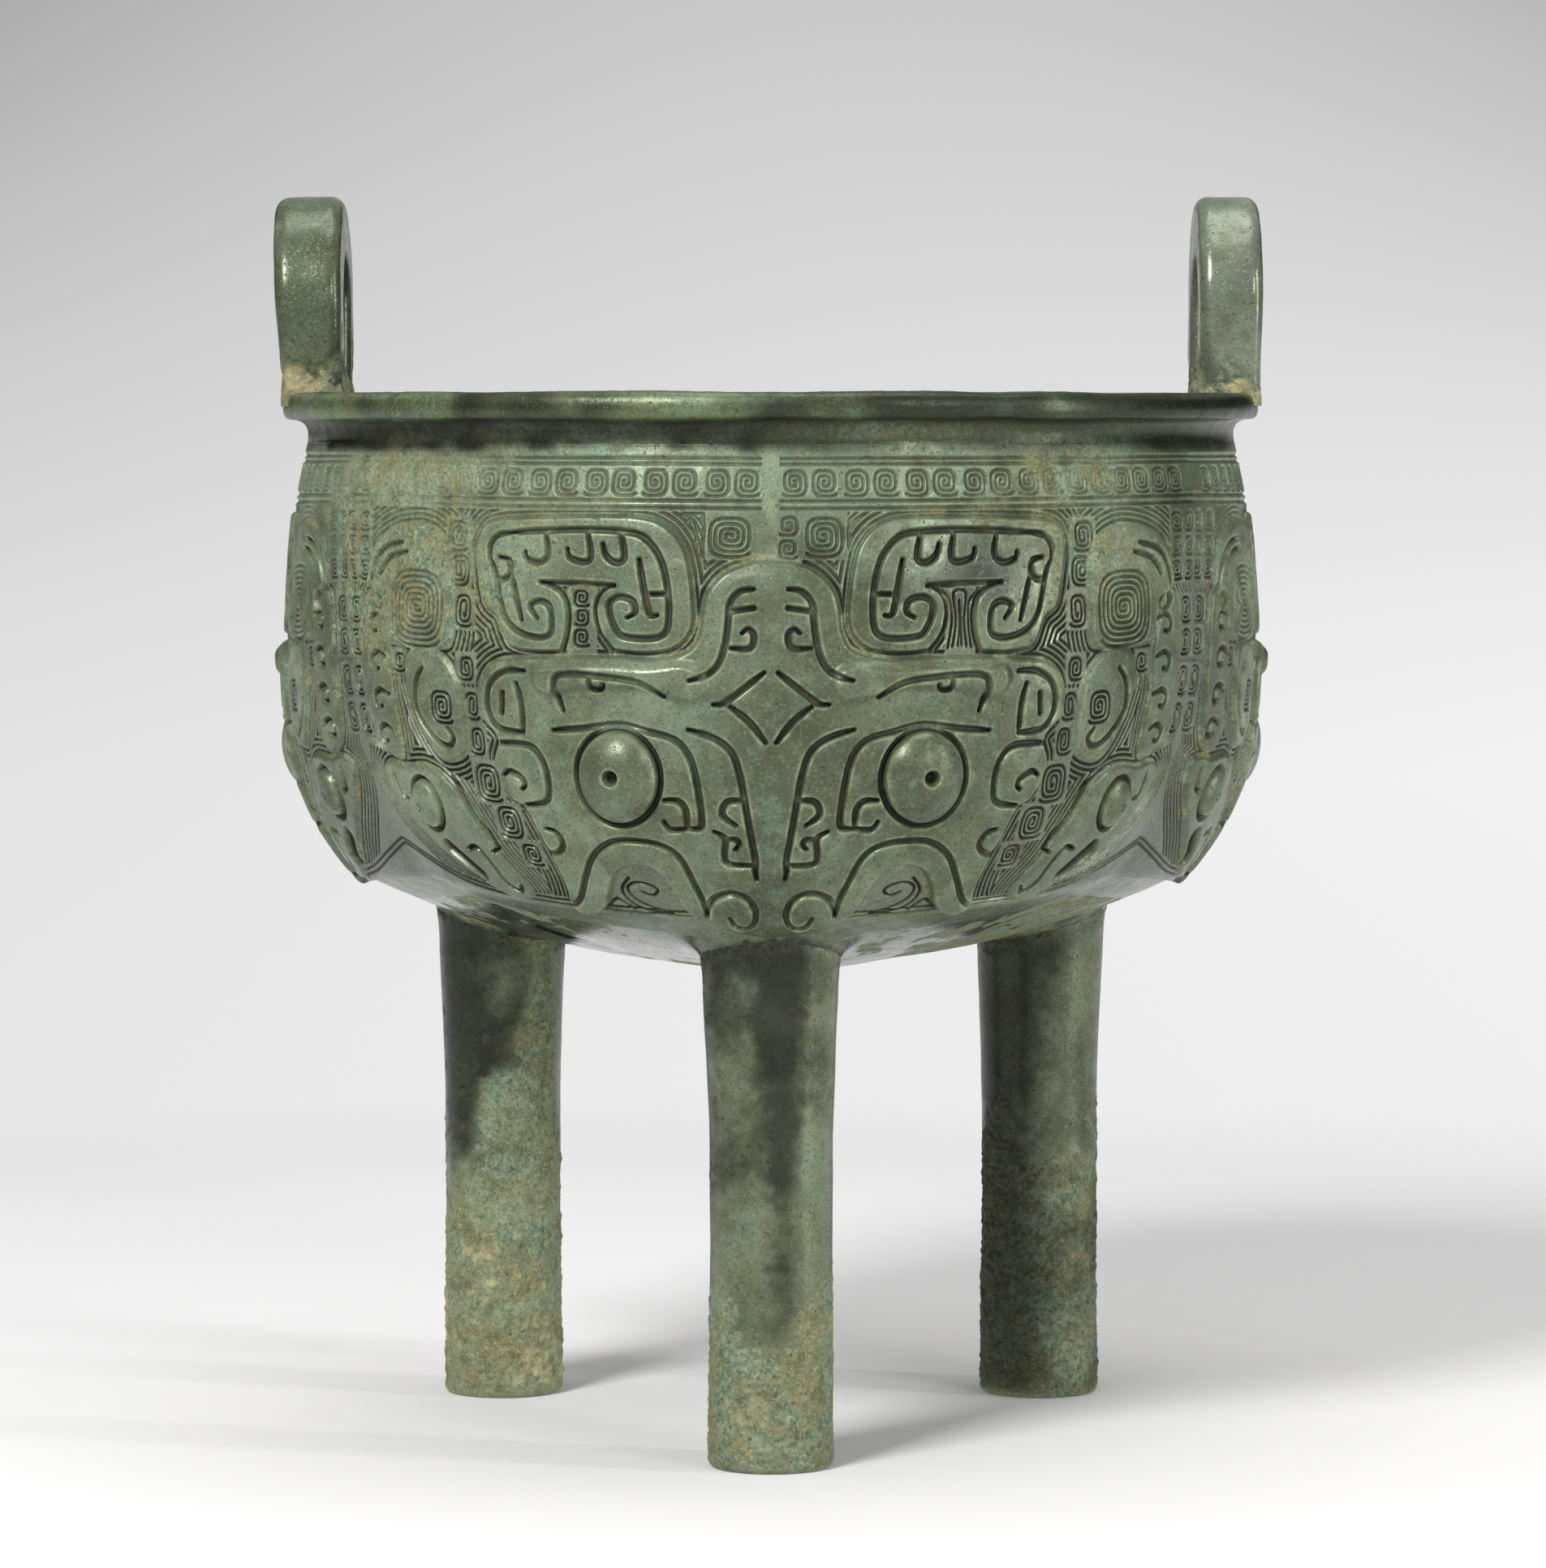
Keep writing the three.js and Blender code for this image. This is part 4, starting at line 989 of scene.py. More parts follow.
class Casting:
    """Gathers the points and faces of one closed piece, in millimetres."""

    def __init__(self):
        self.points, self.normals, self.traits = [], [], []
        self.quads, self.quad_uvs, self.triangles = [], [], []
        self.count = 0

    def add_points(self, points, normals, traits):
        """Adds a grid of points and returns their numbers in the same grid."""
        shape = points.shape[:-1]
        numbers = self.count + np.arange(np.prod(shape)).reshape(shape)
        self.count += numbers.size
        self.points.append(points.reshape(-1, 3))
        self.normals.append(normals.reshape(-1, 3))
        kept = [np.broadcast_to(traits.get(name, 0.0), shape).reshape(-1) for name in TRAITS]
        self.traits.append(np.stack(kept, axis=-1))
        return numbers

    def sheet(self, points, normals, traits, patch, around=False, flipped=False):
        """Adds a grid of quads, which takes up a patch of the bake map."""
        numbers = self.add_points(points, -normals if flipped else normals, traits)
        wide = np.concatenate([numbers, numbers[:, :1]], axis=1) if around else numbers
        rows, cols = wide.shape
        u = np.broadcast_to(np.linspace(patch[0], patch[2], cols), wide.shape)
        v = np.broadcast_to(np.linspace(patch[1], patch[3], rows)[:, None], wide.shape)
        uv = np.stack([u, v], axis=-1)
        corners = [np.s_[:-1, :-1], np.s_[:-1, 1:], np.s_[1:, 1:], np.s_[1:, :-1]]
        if flipped:
            corners.reverse()
        self.quads.append(np.stack([wide[c] for c in corners], axis=-1).reshape(-1, 4))
        self.quad_uvs.append(np.stack([uv[c] for c in corners], axis=-2).reshape(-1, 4, 2))
        return numbers

    def tube(self, points, traits):
        """Adds a grid of quads that closes on itself."""
        return self.sheet(points, facing(points, around=True), traits, WHOLE_PATCH, around=True)

    def lace(self, fine, coarse):
        """Joins a fine edge to a coarse edge that runs beside it, on the fine edge's right."""
        ratio = (len(fine) - 1) // (len(coarse) - 1)
        for i in range(len(coarse) - 1):
            run = fine[i * ratio : (i + 1) * ratio + 1]
            fan = [(b, a, coarse[i]) for a, b in zip(run[:-1], run[1:])]
            self.triangles += fan + [(run[-1], coarse[i], coarse[i + 1])]

    def hem(self, fine, coarse):
        """Joins a fine sheet to a coarse one behind it, all round their edges."""
        for edge in (np.s_[0], np.s_[:, -1], np.s_[-1, ::-1], np.s_[::-1, 0]):
            self.lace(fine[edge], coarse[edge])

    def cap(self, ring, middle, normal, traits):
        """Closes a ring of points with a fan to a middle point."""
        centre = self.add_points(np.array([middle], float), np.array([normal], float), traits)[0]
        loop = np.concatenate([ring, ring[:1]])
        self.triangles += [(centre, a, b) for a, b in zip(loop[:-1], loop[1:])]

    def finish(self, name, material, slot, *nodes):
        """Makes the Blender object, which stands for the CAD nodes that it replaces."""
        points = np.concatenate(self.points) * MM
        normals = np.concatenate(self.normals)
        quads = np.concatenate(self.quads)
        triangles = np.array(self.triangles, int).reshape(-1, 3)
        quad_uvs = np.concatenate(self.quad_uvs)
        mesh = bpy.data.meshes.new(name)
        mesh.vertices.add(len(points))
        mesh.vertices.foreach_set("co", points.astype(np.float32).ravel())
        corners = np.concatenate([quads.ravel(), triangles.ravel()]).astype(np.int32)
        mesh.loops.add(len(corners))
        mesh.loops.foreach_set("vertex_index", corners)
        sizes = np.concatenate([np.full(len(quads), 4), np.full(len(triangles), 3)])
        starts = np.concatenate([[0], np.cumsum(sizes)[:-1]]).astype(np.int32)
        mesh.polygons.add(len(sizes))
        mesh.polygons.foreach_set("loop_start", starts)
        mesh.polygons.foreach_set("use_smooth", np.ones(len(sizes), bool))
        edge_uvs = np.broadcast_to(np.array(HIDDEN_UV), (triangles.size, 2))
        uvs = np.concatenate([quad_uvs.reshape(-1, 2), edge_uvs])
        mesh.uv_layers.new(name="OFBake").data.foreach_set("uv", uvs.astype(np.float32).ravel())
        for i, trait in enumerate(TRAITS):
            values = np.concatenate(self.traits)[:, i]
            layer = mesh.attributes.new(trait, "FLOAT", "POINT")
            layer.data.foreach_set("value", values.astype(np.float32))
        mesh.update(calc_edges=True)
        mesh.normals_split_custom_set_from_vertices(normals.astype(np.float32))
        mesh.materials.append(material)
        piece = bpy.data.objects.new(name, mesh)
        bpy.context.scene.collection.objects.link(piece)
        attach(piece, BODY)
        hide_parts(*nodes)


def wall_segment(name, lobe_angle, side, drawing, panel, relief, sizes, material):
    """One mould section of the wall: a panel of half a lobe's drawing, closed behind."""
    sign = 1 if side == "right" else -1
    first = panel * drawing.columns
    columns = np.s_[:, first : first + drawing.columns + 3]
    step = drawing.across[1]
    across = np.concatenate([[-step], drawing.across, [VALLEY_ACROSS + step]])[columns[1]]
    lowest, highest = drawing.rise[0] - drawing.step, DRAWN_RISE + drawing.step
    rises = np.concatenate([[lowest], drawing.rise, [highest]])
    fields = {}
    for key, field in relief.items():
        tall = np.pad(field, ((1, 1), (0, 0)), mode="edge")
        fields[key] = np.pad(tall, ((0, 0), (1, 1)), mode="reflect")[columns]
    if sign < 0:
        across = across[::-1]
        fields = {key: field[:, ::-1] for key, field in fields.items()}
    plain = plain_surface(lobe_angle + sign * across / GIRTH_RADIUS, rises)
    outward = facing(plain)
    gathered = 0.6 * fields["nook"] * ease((grain(plain, 4, 23) + 0.05) / 0.5)
    crust = np.clip(crust_on_bowl(plain) + gathered, 0, MOST_CRUST)
    buried = np.where(rises > BAND_FOOT, BURIED_BAND, BURIED_BELOW)[:, None] * crust
    heights = fields["smooth"] - fields["cuts"] * (1 - buried)
    heights += crusted_skin(plain, crust, sizes)
    skin = plain + outward * (heights + leg_fillet(plain))[..., None]
    traits = {
        "hollow": fields["hollow"] * (1 - buried),
        "worn_and_highlit": fields["worn_and_highlit"],
        "crust": crust,
        "soot_and_shade": np.maximum(soot_and_lip_shadow_on_bowl(plain), dark_round_leg_roots(plain)),
        "pale": paleness_and_light_on_bowl(plain),
        "bare": bare_on_bowl(plain) * (1 - crust) * (1 - fields["hollow"]),
        "sunk": fields["sunk"] * (1 - ease(1.6 * crust)),
    }
    inner, coarse = np.s_[1:-1, 1:-1], np.s_[1:-1:COARSE, 1:-1:COARSE]
    traits = {key: field[inner] for key, field in traits.items()}
    casting = Casting()
    outside = casting.sheet(skin[inner], facing(skin)[inner], traits, OUTSIDE_PATCH)
    behind = plain[coarse] - WALL * outward[coarse]
    inside = casting.sheet(behind, outward[coarse], INSIDE_TRAITS, INSIDE_PATCH, flipped=True)
    casting.hem(outside, inside)
    casting.finish(name, material, "body_bronze", "bowl")


def bowl_floor(sizes, material):
    """The rounded underside and the well above it, inside the wall's lower edge."""
    angles = np.linspace(-math.pi, math.pi, ROUND_STEPS, endpoint=False)
    rises = np.linspace(1.2 - UNDERSIDE_LENGTH, DRAWN_LOW, FLOOR_ROWS)
    rises = np.append(rises, 2 * rises[-1] - rises[-2])
    plain = plain_surface(angles, rises)
    outward = facing(plain, around=True)
    crust = 0.6 * crust_on_bowl(plain)
    heights = crusted_skin(plain, crust, sizes) + leg_fillet(plain) - UNDERSIDE_RECESS
    skin = plain + outward * heights[..., None]
    patch = grains(plain, (0.6, 16, 65), (0.4, 5, 66), (0.25, 1.8, 67))
    x = plain[..., 0]
    stained = ease((patch - 0.12 + 0.4 * ease((x - 12) / 24)) / 0.12)
    for lobe in ("left", "right"):
        ring = 0.9 * bell(off_leg(plain, LOBES[lobe]) / 6)
        crust = np.maximum(crust, ring * ease(0.6 + patch))
    traits = {
        "crust": np.maximum(crust, 0.42 * stained)[:-1],
        "soot_and_shade": dark_round_leg_roots(plain)[:-1],
        "pale": 0.6,
        "bare": ((1 - stained) * (0.35 + 0.65 * ease((16 - x) / 30)))[:-1],
    }
    casting = Casting()
    normals = facing(skin, around=True)[:-1]
    outside = casting.sheet(skin[:-1], normals, traits, OUTSIDE_PATCH, around=True)
    coarse = np.s_[:-1:COARSE_ROUND, ::COARSE_ROUND]
    behind = plain[coarse] - WALL * outward[coarse]
    inside = casting.sheet(
        behind, outward[coarse], INSIDE_TRAITS, INSIDE_PATCH, around=True, flipped=True
    )
    casting.lace(*(np.append(edge, edge[0])[::-1] for edge in (outside[-1], inside[-1])))
    casting.cap(outside[0], (0, 0, STANDING_HEIGHT + UNDERSIDE_RECESS), (0, 0, -1), {"pale": 0.6})
    casting.cap(inside[0][::-1], (0, 0, STANDING_HEIGHT + WALL), (0, 0, 1), INSIDE_TRAITS)
    casting.finish("underside", material, "body_bronze", "bowl")


def lip_profile():
    """Closed section of the lip, from the neck out over the edge and down the inside."""
    foot, inner = LIP_TOP - LIP_EDGE, NECK_RADIUS - WALL
    edge, round_ = LIP_RADIUS, LIP_ROUND
    return joined(
        bezier((NECK_RADIUS, NECK_HEIGHT), (NECK_RADIUS - 1, foot), (edge - round_, foot)),
        bezier((edge - round_, foot), (edge - 0.1, foot), (edge, foot + 1.2 * round_))[1:],
        bezier((edge, foot + 1.2 * round_), (edge, LIP_TOP - 0.1), (edge - 1.5 * round_, LIP_TOP))[1:],
        bezier((inner + round_, LIP_TOP), (inner, LIP_TOP), (inner, LIP_TOP - round_)),
        [(inner, NECK_HEIGHT), (NECK_RADIUS, NECK_HEIGHT)],
    )


def lip_ring(sizes, material):
    """The neck and the turned-out lip, as one ring."""
    angles = np.linspace(-math.pi, math.pi, ROUND_STEPS, endpoint=False)
    profile = at_shares(lip_profile(), np.arange(LIP_ROWS + 1) / LIP_ROWS)
    radius, height = profile[:, :1], profile[:, 1:]
    plain = spun(angles[None, :], radius, height)
    outward = facing(plain, around=True)
    degrees = np.degrees(angles)[None, :]
    on_edge = ease((radius - NECK_RADIUS) / 2) * ease((height - LIP_TOP + LIP_EDGE + 0.6) / 0.9)
    neck = ease((90 - np.abs(degrees + 40)) / 40) * ease((height - NECK_HEIGHT) / 2)
    crust = np.maximum(crust_on_bowl(plain), 0.3 * neck) * (1 - 0.7 * on_edge)
    skin = plain + outward * crusted_skin(plain, crust, sizes)[..., None]
    skin[-1] = skin[0]
    patches = grains(plain, (0.6, 17, 71), (0.3, 5, 72))
    edge_soot = 0.85 * ease((0.18 + 0.66 * ease((degrees + 18) / 34) + patches) / 0.7)
    # A painted highlight line along the rounded top edge of the lip
    from_rim = ((profile - (LIP_RADIUS - 0.6, LIP_TOP - 0.6)) ** 2).sum(axis=1)
    traits = {
        "crust": crust,
        "soot_and_shade": np.clip(on_edge * edge_soot + (1 - on_edge) * soot_and_lip_shadow_on_bowl(plain), 0, 1),
        "worn_and_highlit": 0.6 * np.exp(-from_rim / 1.2)[:, None],
        "pale": paleness_and_light_on_bowl(plain),
        "bare": bare_on_bowl(plain) * (1 - crust) * (1 - 0.9 * on_edge),
    }
    casting = Casting()
    casting.tube(skin, traits)
    casting.finish("lip", material, "body_bronze", "bowl")


def ear_path():
    """The middle of the loop's band, from one foot over the top to the other."""
    half, full = (EAR_BASE_WIDTH - EAR_BAND) / 2, (EAR_FULL_WIDTH - EAR_BAND) / 2
    shoulder = EAR_HEIGHT - EAR_FULL_WIDTH / 2
    rise = bezier((half, 0), (full, shoulder / 2), (full, shoulder))
    turn = np.linspace(0, math.pi, ARCH_STEPS)[1:]
    arch = np.stack([full * np.cos(turn), shoulder + full * np.sin(turn)], axis=-1)
    fall = rise[::-1][1:] * (-1, 1)
    return joined([(half, -EAR_ROOT)], rise, arch, fall, [(-half, -EAR_ROOT)])


def ear_section(count):
    """The band's rounded section: shares of its half width and half thickness."""
    w, t, r = EAR_BAND / 2, EAR_THICKNESS / 2, EAR_ROUND
    corners = [(w, t), (-w, t), (-w, -t), (w, -t)]
    line = []
    for i, (x, y) in enumerate(corners):
        start = math.pi / 2 * i
        turn = np.linspace(start, start + math.pi / 2, CORNER_STEPS)
        middle = np.array([x - math.copysign(r, x), y - math.copysign(r, y)])
        line.append(middle + r * np.stack([np.cos(turn), np.sin(turn)], axis=-1))
    line = joined(*line, line[0][:1])
    return at_shares(line, np.arange(count) / count) / (w, t)


def ear(side, sizes, material):
    """One upright loop handle, swept along its path and rooted in the lip."""
    path = at_shares(ear_path(), np.linspace(0, 1, EAR_RINGS))
    along = np.gradient(path, axis=0)
    along /= np.linalg.norm(along, axis=1, keepdims=True)
    section = ear_section(EAR_COLUMNS)
    lift = np.clip(path[:, 1] / EAR_HEIGHT, 0, 1)
    thickness = EAR_THICKNESS + lift * (EAR_TOP_THICKNESS[side] - EAR_THICKNESS)
    fillet = EAR_FILLET * np.exp(-np.clip(path[:, 1], 0, None) / EAR_FILLET_REACH)
    wide = section[None, :, 0] * (EAR_BAND / 2 + fillet)[:, None]
    thick = section[None, :, 1] * (thickness / 2 + 0.15 * fillet)[:, None]
    across = path[:, :1] + wide * along[:, 1:]
    height = path[:, 1:] - wide * along[:, :1]
    lean = EAR_LEAN[side]
    middle = LIP_RADIUS - EAR_SETBACK - EAR_THICKNESS / 2
    x = middle + thick * math.cos(lean) + height * math.sin(lean)
    z = LIP_TOP + height * math.cos(lean) - thick * math.sin(lean)
    sign = 1 if side == "right" else -1
    plain = np.stack([sign * x, across, z], axis=-1)
    if sign < 0:
        plain = plain[:, ::-1]
    outward = facing(plain, around=True)
    rough = grains(plain, (0.5, 7, 41), (0.45, 2.6, 42))
    ragged = grains(plain, (0.8, 5, 45), (0.5, 1.9, 46), (0.3, 0.9, 47))
    out, up = sign * plain[..., 0], plain[..., 2] - LIP_TOP
    outer_side = ease((out - LIP_RADIUS + 4) / 5)
    inner_side = ease((LIP_RADIUS - EAR_THICKNESS + 1.6 - out) / 2)
    crust = 2.2 * bell(up / 6) * (0.75 + ragged) + 0.45 * outer_side + 0.45 * inner_side
    crust = np.clip(crust + rough - 0.62, 0, 1)
    heights = crusted_skin(plain, crust, sizes) * ease((up - 0.4) / 2.4)
    skin = plain + outward * heights[..., None]
    traits = {
        "crust": crust,
        "soot_and_shade": np.clip(0.25 * rough + 0.15 + 0.3 * grain(plain, 15, 43), 0, 1),
        "pale": 0.5 + 0.3 * grain(plain, 12, 44),
    }
    casting = Casting()
    rings = casting.tube(skin, traits)
    casting.cap(rings[0], skin[0].mean(axis=0), (0, 0, -1), {})
    casting.cap(rings[-1][::-1], skin[-1].mean(axis=0), (0, 0, -1), {})
    casting.finish(f"ear_loop_{side}", material, "dark_bronze", f"ear_{side}")


def leg_profile(roof):
    """Radius and height up a leg, from the flat of its foot to its flared top."""
    flare_foot, flare_top = roof - LEG_FLARE_LENGTH, roof + LEG_FLARE_LENGTH
    waist = flare_foot - LEG_WAIST_HEIGHT
    foot, top = LEG_FOOT_RADIUS, LEG_TOP_RADIUS
    return joined(
        bezier((foot - FOOT_ROUND, 0), (foot, 0), (foot, FOOT_ROUND), steps=FOOT_STEPS),
        bezier(
            (foot, FOOT_ROUND),
            (LEG_WAIST_RADIUS, waist - LEG_WAIST_HEIGHT / 3),
            (LEG_WAIST_RADIUS, waist + LEG_WAIST_HEIGHT / 3),
            (top, flare_foot),
        )[1:],
        bezier((top, flare_foot), (top, roof), (top + LEG_FLARE, flare_top))[1:],
    )


# Height to which crust is thick and how much higher it climbs on the palest side, how dark the leg
# is above and below that, degrees to its darkest and palest sides with their reach, and how pale
# its crust is
LEG_FINISH = {
    "front": {
        "crusted": 34,
        "climbs": 0,
        "dark": (0.64, -0.1),
        "darkest": (9, 22),
        "palest": (62, 40),
        "pale": 0.1,
    },
    "left": {
        "crusted": 55,
        "climbs": 34,
        "dark": (0.86, -0.45),
        "darkest": (-52, 46),
        "palest": (46, 34),
        "pale": 1,
    },
    "right": {
        "crusted": 60,
        "climbs": 0,
        "dark": (0.82, 0.86),
        "darkest": (-50, 46),
        "palest": (44, 46),
        "pale": -0.3,
    },
}


def leg_patina(finish, own, height, turns, top):
    """Thickness of the crust on a leg and the traits of its skin, from its own random fields."""
    patch = grains(own, (0.6, 15, 51), (0.3, 6, 52), (0.15, 2.4, 53))
    fine = grains(own, (0.6, 1.7, 58), (0.4, 0.9, 59))
    sides = {}
    for key in ("darkest", "palest"):
        middle, spread = np.radians(finish[key])
        sides[key] = bell(turned(turns, middle) / spread)[None, :]
    below_top = height - top[None, :]

    reached = finish["crusted"] + finish["climbs"] * sides["palest"]
    low = ease((reached - height + 28 * patch) / 26 + 0.5)
    ring = bell((below_top + LEG_ROOT + 2) / 3)
    thickest = 0.84 + 0.16 * finish["pale"] * ease((60 - height) / 40)
    crust = np.clip(0.85 * low + 0.6 * ring - 0.2 + 0.55 * patch + 0.4 * fine, 0, thickest)
    above, below = finish["dark"]
    # A darker collar at the top of the leg, just under the bowl
    collar = ease((below_top + 14) / 8) * (1 - sides["palest"])
    darkness = above + low * (below - above) + 0.75 * patch + 0.16 * fine + 0.4 * collar
    darkness += 0.6 * sides["darkest"] - 0.3 - 0.2 * sides["palest"]
    worn_and_highlit = 0.9 * bell(height / 2.2)
    paler = 0.4 * low + 0.8 * ease((44 - height) / 40)
    traits = {
        "crust": crust * (1 - 0.6 * worn_and_highlit),
        "soot_and_shade": 0.88 * ease((darkness - 0.12) / 0.8) * (1 - worn_and_highlit),
        "worn_and_highlit": worn_and_highlit,
        "pale": 0.5 + finish["pale"] * paler + 0.6 * grain(own, 9, 57),
    }
    return crust, traits


def leg(name, lobe_angle, seed, sizes, material):
    """One column leg, smooth above and crusted below, rooted in the underside."""
    axis = leg_axis(lobe_angle)
    turns = np.linspace(-math.pi, math.pi, LEG_COLUMNS, endpoint=False)
    roof = float(underside_height(axis[0], axis[1]))
    profile = leg_profile(roof)
    lengths = lengths_along(profile)
    reach = LEG_TOP_RADIUS + LEG_FLARE / 2
    top = underside_height(axis[0] + reach * np.sin(turns), axis[1] - reach * np.cos(turns)) + LEG_ROOT
    last = np.interp(top, profile[:, 1], lengths)
    run = np.linspace(0, 1, LEG_ROWS)[:, None] * last[None, :]
    radius = np.interp(run, lengths, profile[:, 0])
    height = np.interp(run, lengths, profile[:, 1])
    plain = axis + spun(turns[None, :], radius, height)
    outward = facing(plain, around=True)
    own = plain + LEG_SHIFT * seed
    crust, traits = leg_patina(LEG_FINISH[name], own, height, turns, top)
    bumps = 0.6 * np.abs(grain(own, 3.2, 54)) + 0.8 * np.abs(grain(own, 1.5, 55))
    bumps += 0.6 * grain(own, 0.9, 56)
    heights = cast_skin(plain, sizes) + 1.7 * sizes.crust_height * crust * (bumps - 0.3)
    skin = plain + outward * (heights * ease(height / 3))[..., None]
    casting = Casting()
    rows = casting.tube(skin, traits)
    casting.cap(rows[0], axis, (0, 0, -1), {"worn_and_highlit": 0.8, "pale": 0.5})
    casting.cap(rows[-1][::-1], axis + (0, 0, roof + LEG_ROOT), (0, 0, 1), {})
    casting.finish(f"column_leg_{name}", material, "crusted_bronze", f"leg_{name}")


def chaplet(number, angle, ring_radius, material):
    """One square spacer, a hair proud of the underside and of the well."""
    half = CHAPLET_SIDE / 2
    line = np.linspace(-half, half, CHAPLET_ROWS)
    right, out = np.meshgrid(line, ring_radius - line)
    x = out * math.sin(angle) + right * math.cos(angle)
    y = -out * math.cos(angle) + right * math.sin(angle)
    ground = underside_height(x, y)
    low = np.stack([x, y, ground + UNDERSIDE_RECESS - CHAPLET_PROUD], axis=-1)[::-1]
    high = np.stack([x, y, ground + WALL + CHAPLET_PROUD], axis=-1)[::-1]
    up = np.broadcast_to((0.0, 0.0, 1.0), low.shape)
    casting = Casting()
    under = casting.sheet(low, up, {"pale": 0.6}, OUTSIDE_PATCH, flipped=True)
    over = casting.sheet(high, up, {"pale": 0.5}, INSIDE_PATCH)
    casting.hem(over, under)
    casting.finish(f"spacer_{number}", material, "spacer_bronze", f"chaplet_{number}")


# Materials


# Sockets of a node that mixes colours
MIX_FACTOR, MIX_A, MIX_B, MIX_RESULT = 0, 6, 7, 2


class Nodes:
    """A new material's node tree; a value in it is a pair, a node and the socket that gives it."""

    def __init__(self, name):
        self.material = bpy.data.materials.new(name)
        self.material.use_nodes = True
        self.tree = self.material.node_tree
        self.tree.nodes.clear()

    def add(self, kind, inputs=None, **settings):
        """Adds a node: an input that is a pair is linked, and any other is a constant."""
        node = self.tree.nodes.new(f"ShaderNode{kind}")
        for key, value in settings.items():
            setattr(node, key, value)
        for key, value in (inputs or {}).items():
            if isinstance(value, tuple):
                source, socket = value
                self.tree.links.new(source.outputs[socket], node.inputs[key])
            else:
                node.inputs[key].default_value = value
        return node

    def noise(self, place, size_mm, detail, roughness=0.5):
        """Cloudy noise with blots of about one size."""
        scale = 1 / (size_mm * MM)
        inputs = {"Vector": place, "Scale": scale, "Detail": detail, "Roughness": roughness}
        return (self.add("TexNoise", inputs), "Fac")

    def share(self, source, low, high, most, least=0.0, **settings):
        """Goes from least to most as source goes from low to high."""
        inputs = {"Value": source, "From Min": low, "From Max": high, "To Min": least, "To Max": most}
        return (self.add("MapRange", inputs, **settings), "Result")

    def sums(self, operation, first, second):
        """Adds, multiplies or compares two numbers; the second may be a constant."""
        return (self.add("Math", {0: first, 1: second}, operation=operation), "Value")

    def over(self, under, colour, factor):
        """Lays a colour over another by a factor."""
        inputs = {MIX_FACTOR: factor, MIX_A: under, MIX_B: colour}
        return (self.add("Mix", inputs, data_type="RGBA"), MIX_RESULT)

    def ramp(self, source, *stops):
        """A colour for each of several levels of source."""
        node = self.add("ValToRGB", {"Fac": source})
        ends = node.color_ramp.elements
        ends[0].position, ends[0].color = stops[0]
        ends[1].position, ends[1].color = stops[-1]
        for position, colour in stops[1:-1]:
            ends.new(position).color = colour
        return (node, "Color")

    def bump(self, height, strength, distance_mm, beneath=None, **settings):
        """Bends the normal by a height, over what is bent beneath it."""
        inputs = {"Height": height, "Strength": strength, "Distance": distance_mm * MM}
        if beneath:
            inputs["Normal"] = beneath
        return (self.add("Bump", inputs, **settings), "Normal")

    def finish(self, surface):
        """Gives the material its surface."""
        self.add("OutputMaterial", {"Surface": surface})
        return self.material


# Noises of the patina: size in mm and detail
PATINA_NOISES = {
    "patch": (24, 4),
    "mottle": (3.6, 5),
    "fleck": (1.3, 3),
    "pit": (0.75, 2),
    "soil": (8, 4),
    "grit": (0.6, 2),
    "tooth": (0.5, 2),
}
PATINA_NOISE_ROUGHNESS = 0.58


def skin_colour(nodes, texture, trait, tones, colours):
    """Colour of the thin mineral skin: mottled and gritty, paler on raised edges as wear and as a
    painted highlight.
    """
    share, over = nodes.share, nodes.over
    dark, common, pale = tones
    skin = nodes.ramp(texture["patch"], (0.3, dark), (0.5, common), (0.72, pale))
    # The pale trait: patina tone, with painted light and shade from the band and patches of the bowl
    skin = over(skin, dark, share(trait["pale"], 0.45, 0, 0.85))
    skin = over(skin, pale, share(trait["pale"], 0.55, 1, 0.85))
    skin = over(skin, dark, share(texture["mottle"], 0.52, 0.72, 0.5))
    skin = over(skin, pale, share(texture["mottle"], 0.46, 0.28, 0.45))
    skin = over(skin, colours.soil, share(texture["soil"], 0.5, 0.68, 0.42))
    skin = over(skin, colours.malachite, share(texture["soil"], 0.47, 0.33, 0.5))
    skin = over(skin, colours.ground, share(trait["sunk"], 0, 1, 0.65))
    skin = over(skin, colours.verdigris, share(texture["grit"], 0.56, 0.68, 0.3))
    skin = over(skin, dark, share(texture["grit"], 0.45, 0.33, 0.55))
    # Paler on raised edges: wear, and a painted highlight
    rubbed_and_highlit = share(trait["worn_and_highlit"], 0.25, 1, 0.85)
    rubbed_and_highlit = nodes.sums("MULTIPLY", rubbed_and_highlit, share(texture["mottle"], 0.62, 0.4, 1))
    skin = over(skin, colours.verdigris, rubbed_and_highlit)
    return over(skin, colours.bare, share(trait["bare"], 0.2, 1, 0.6))


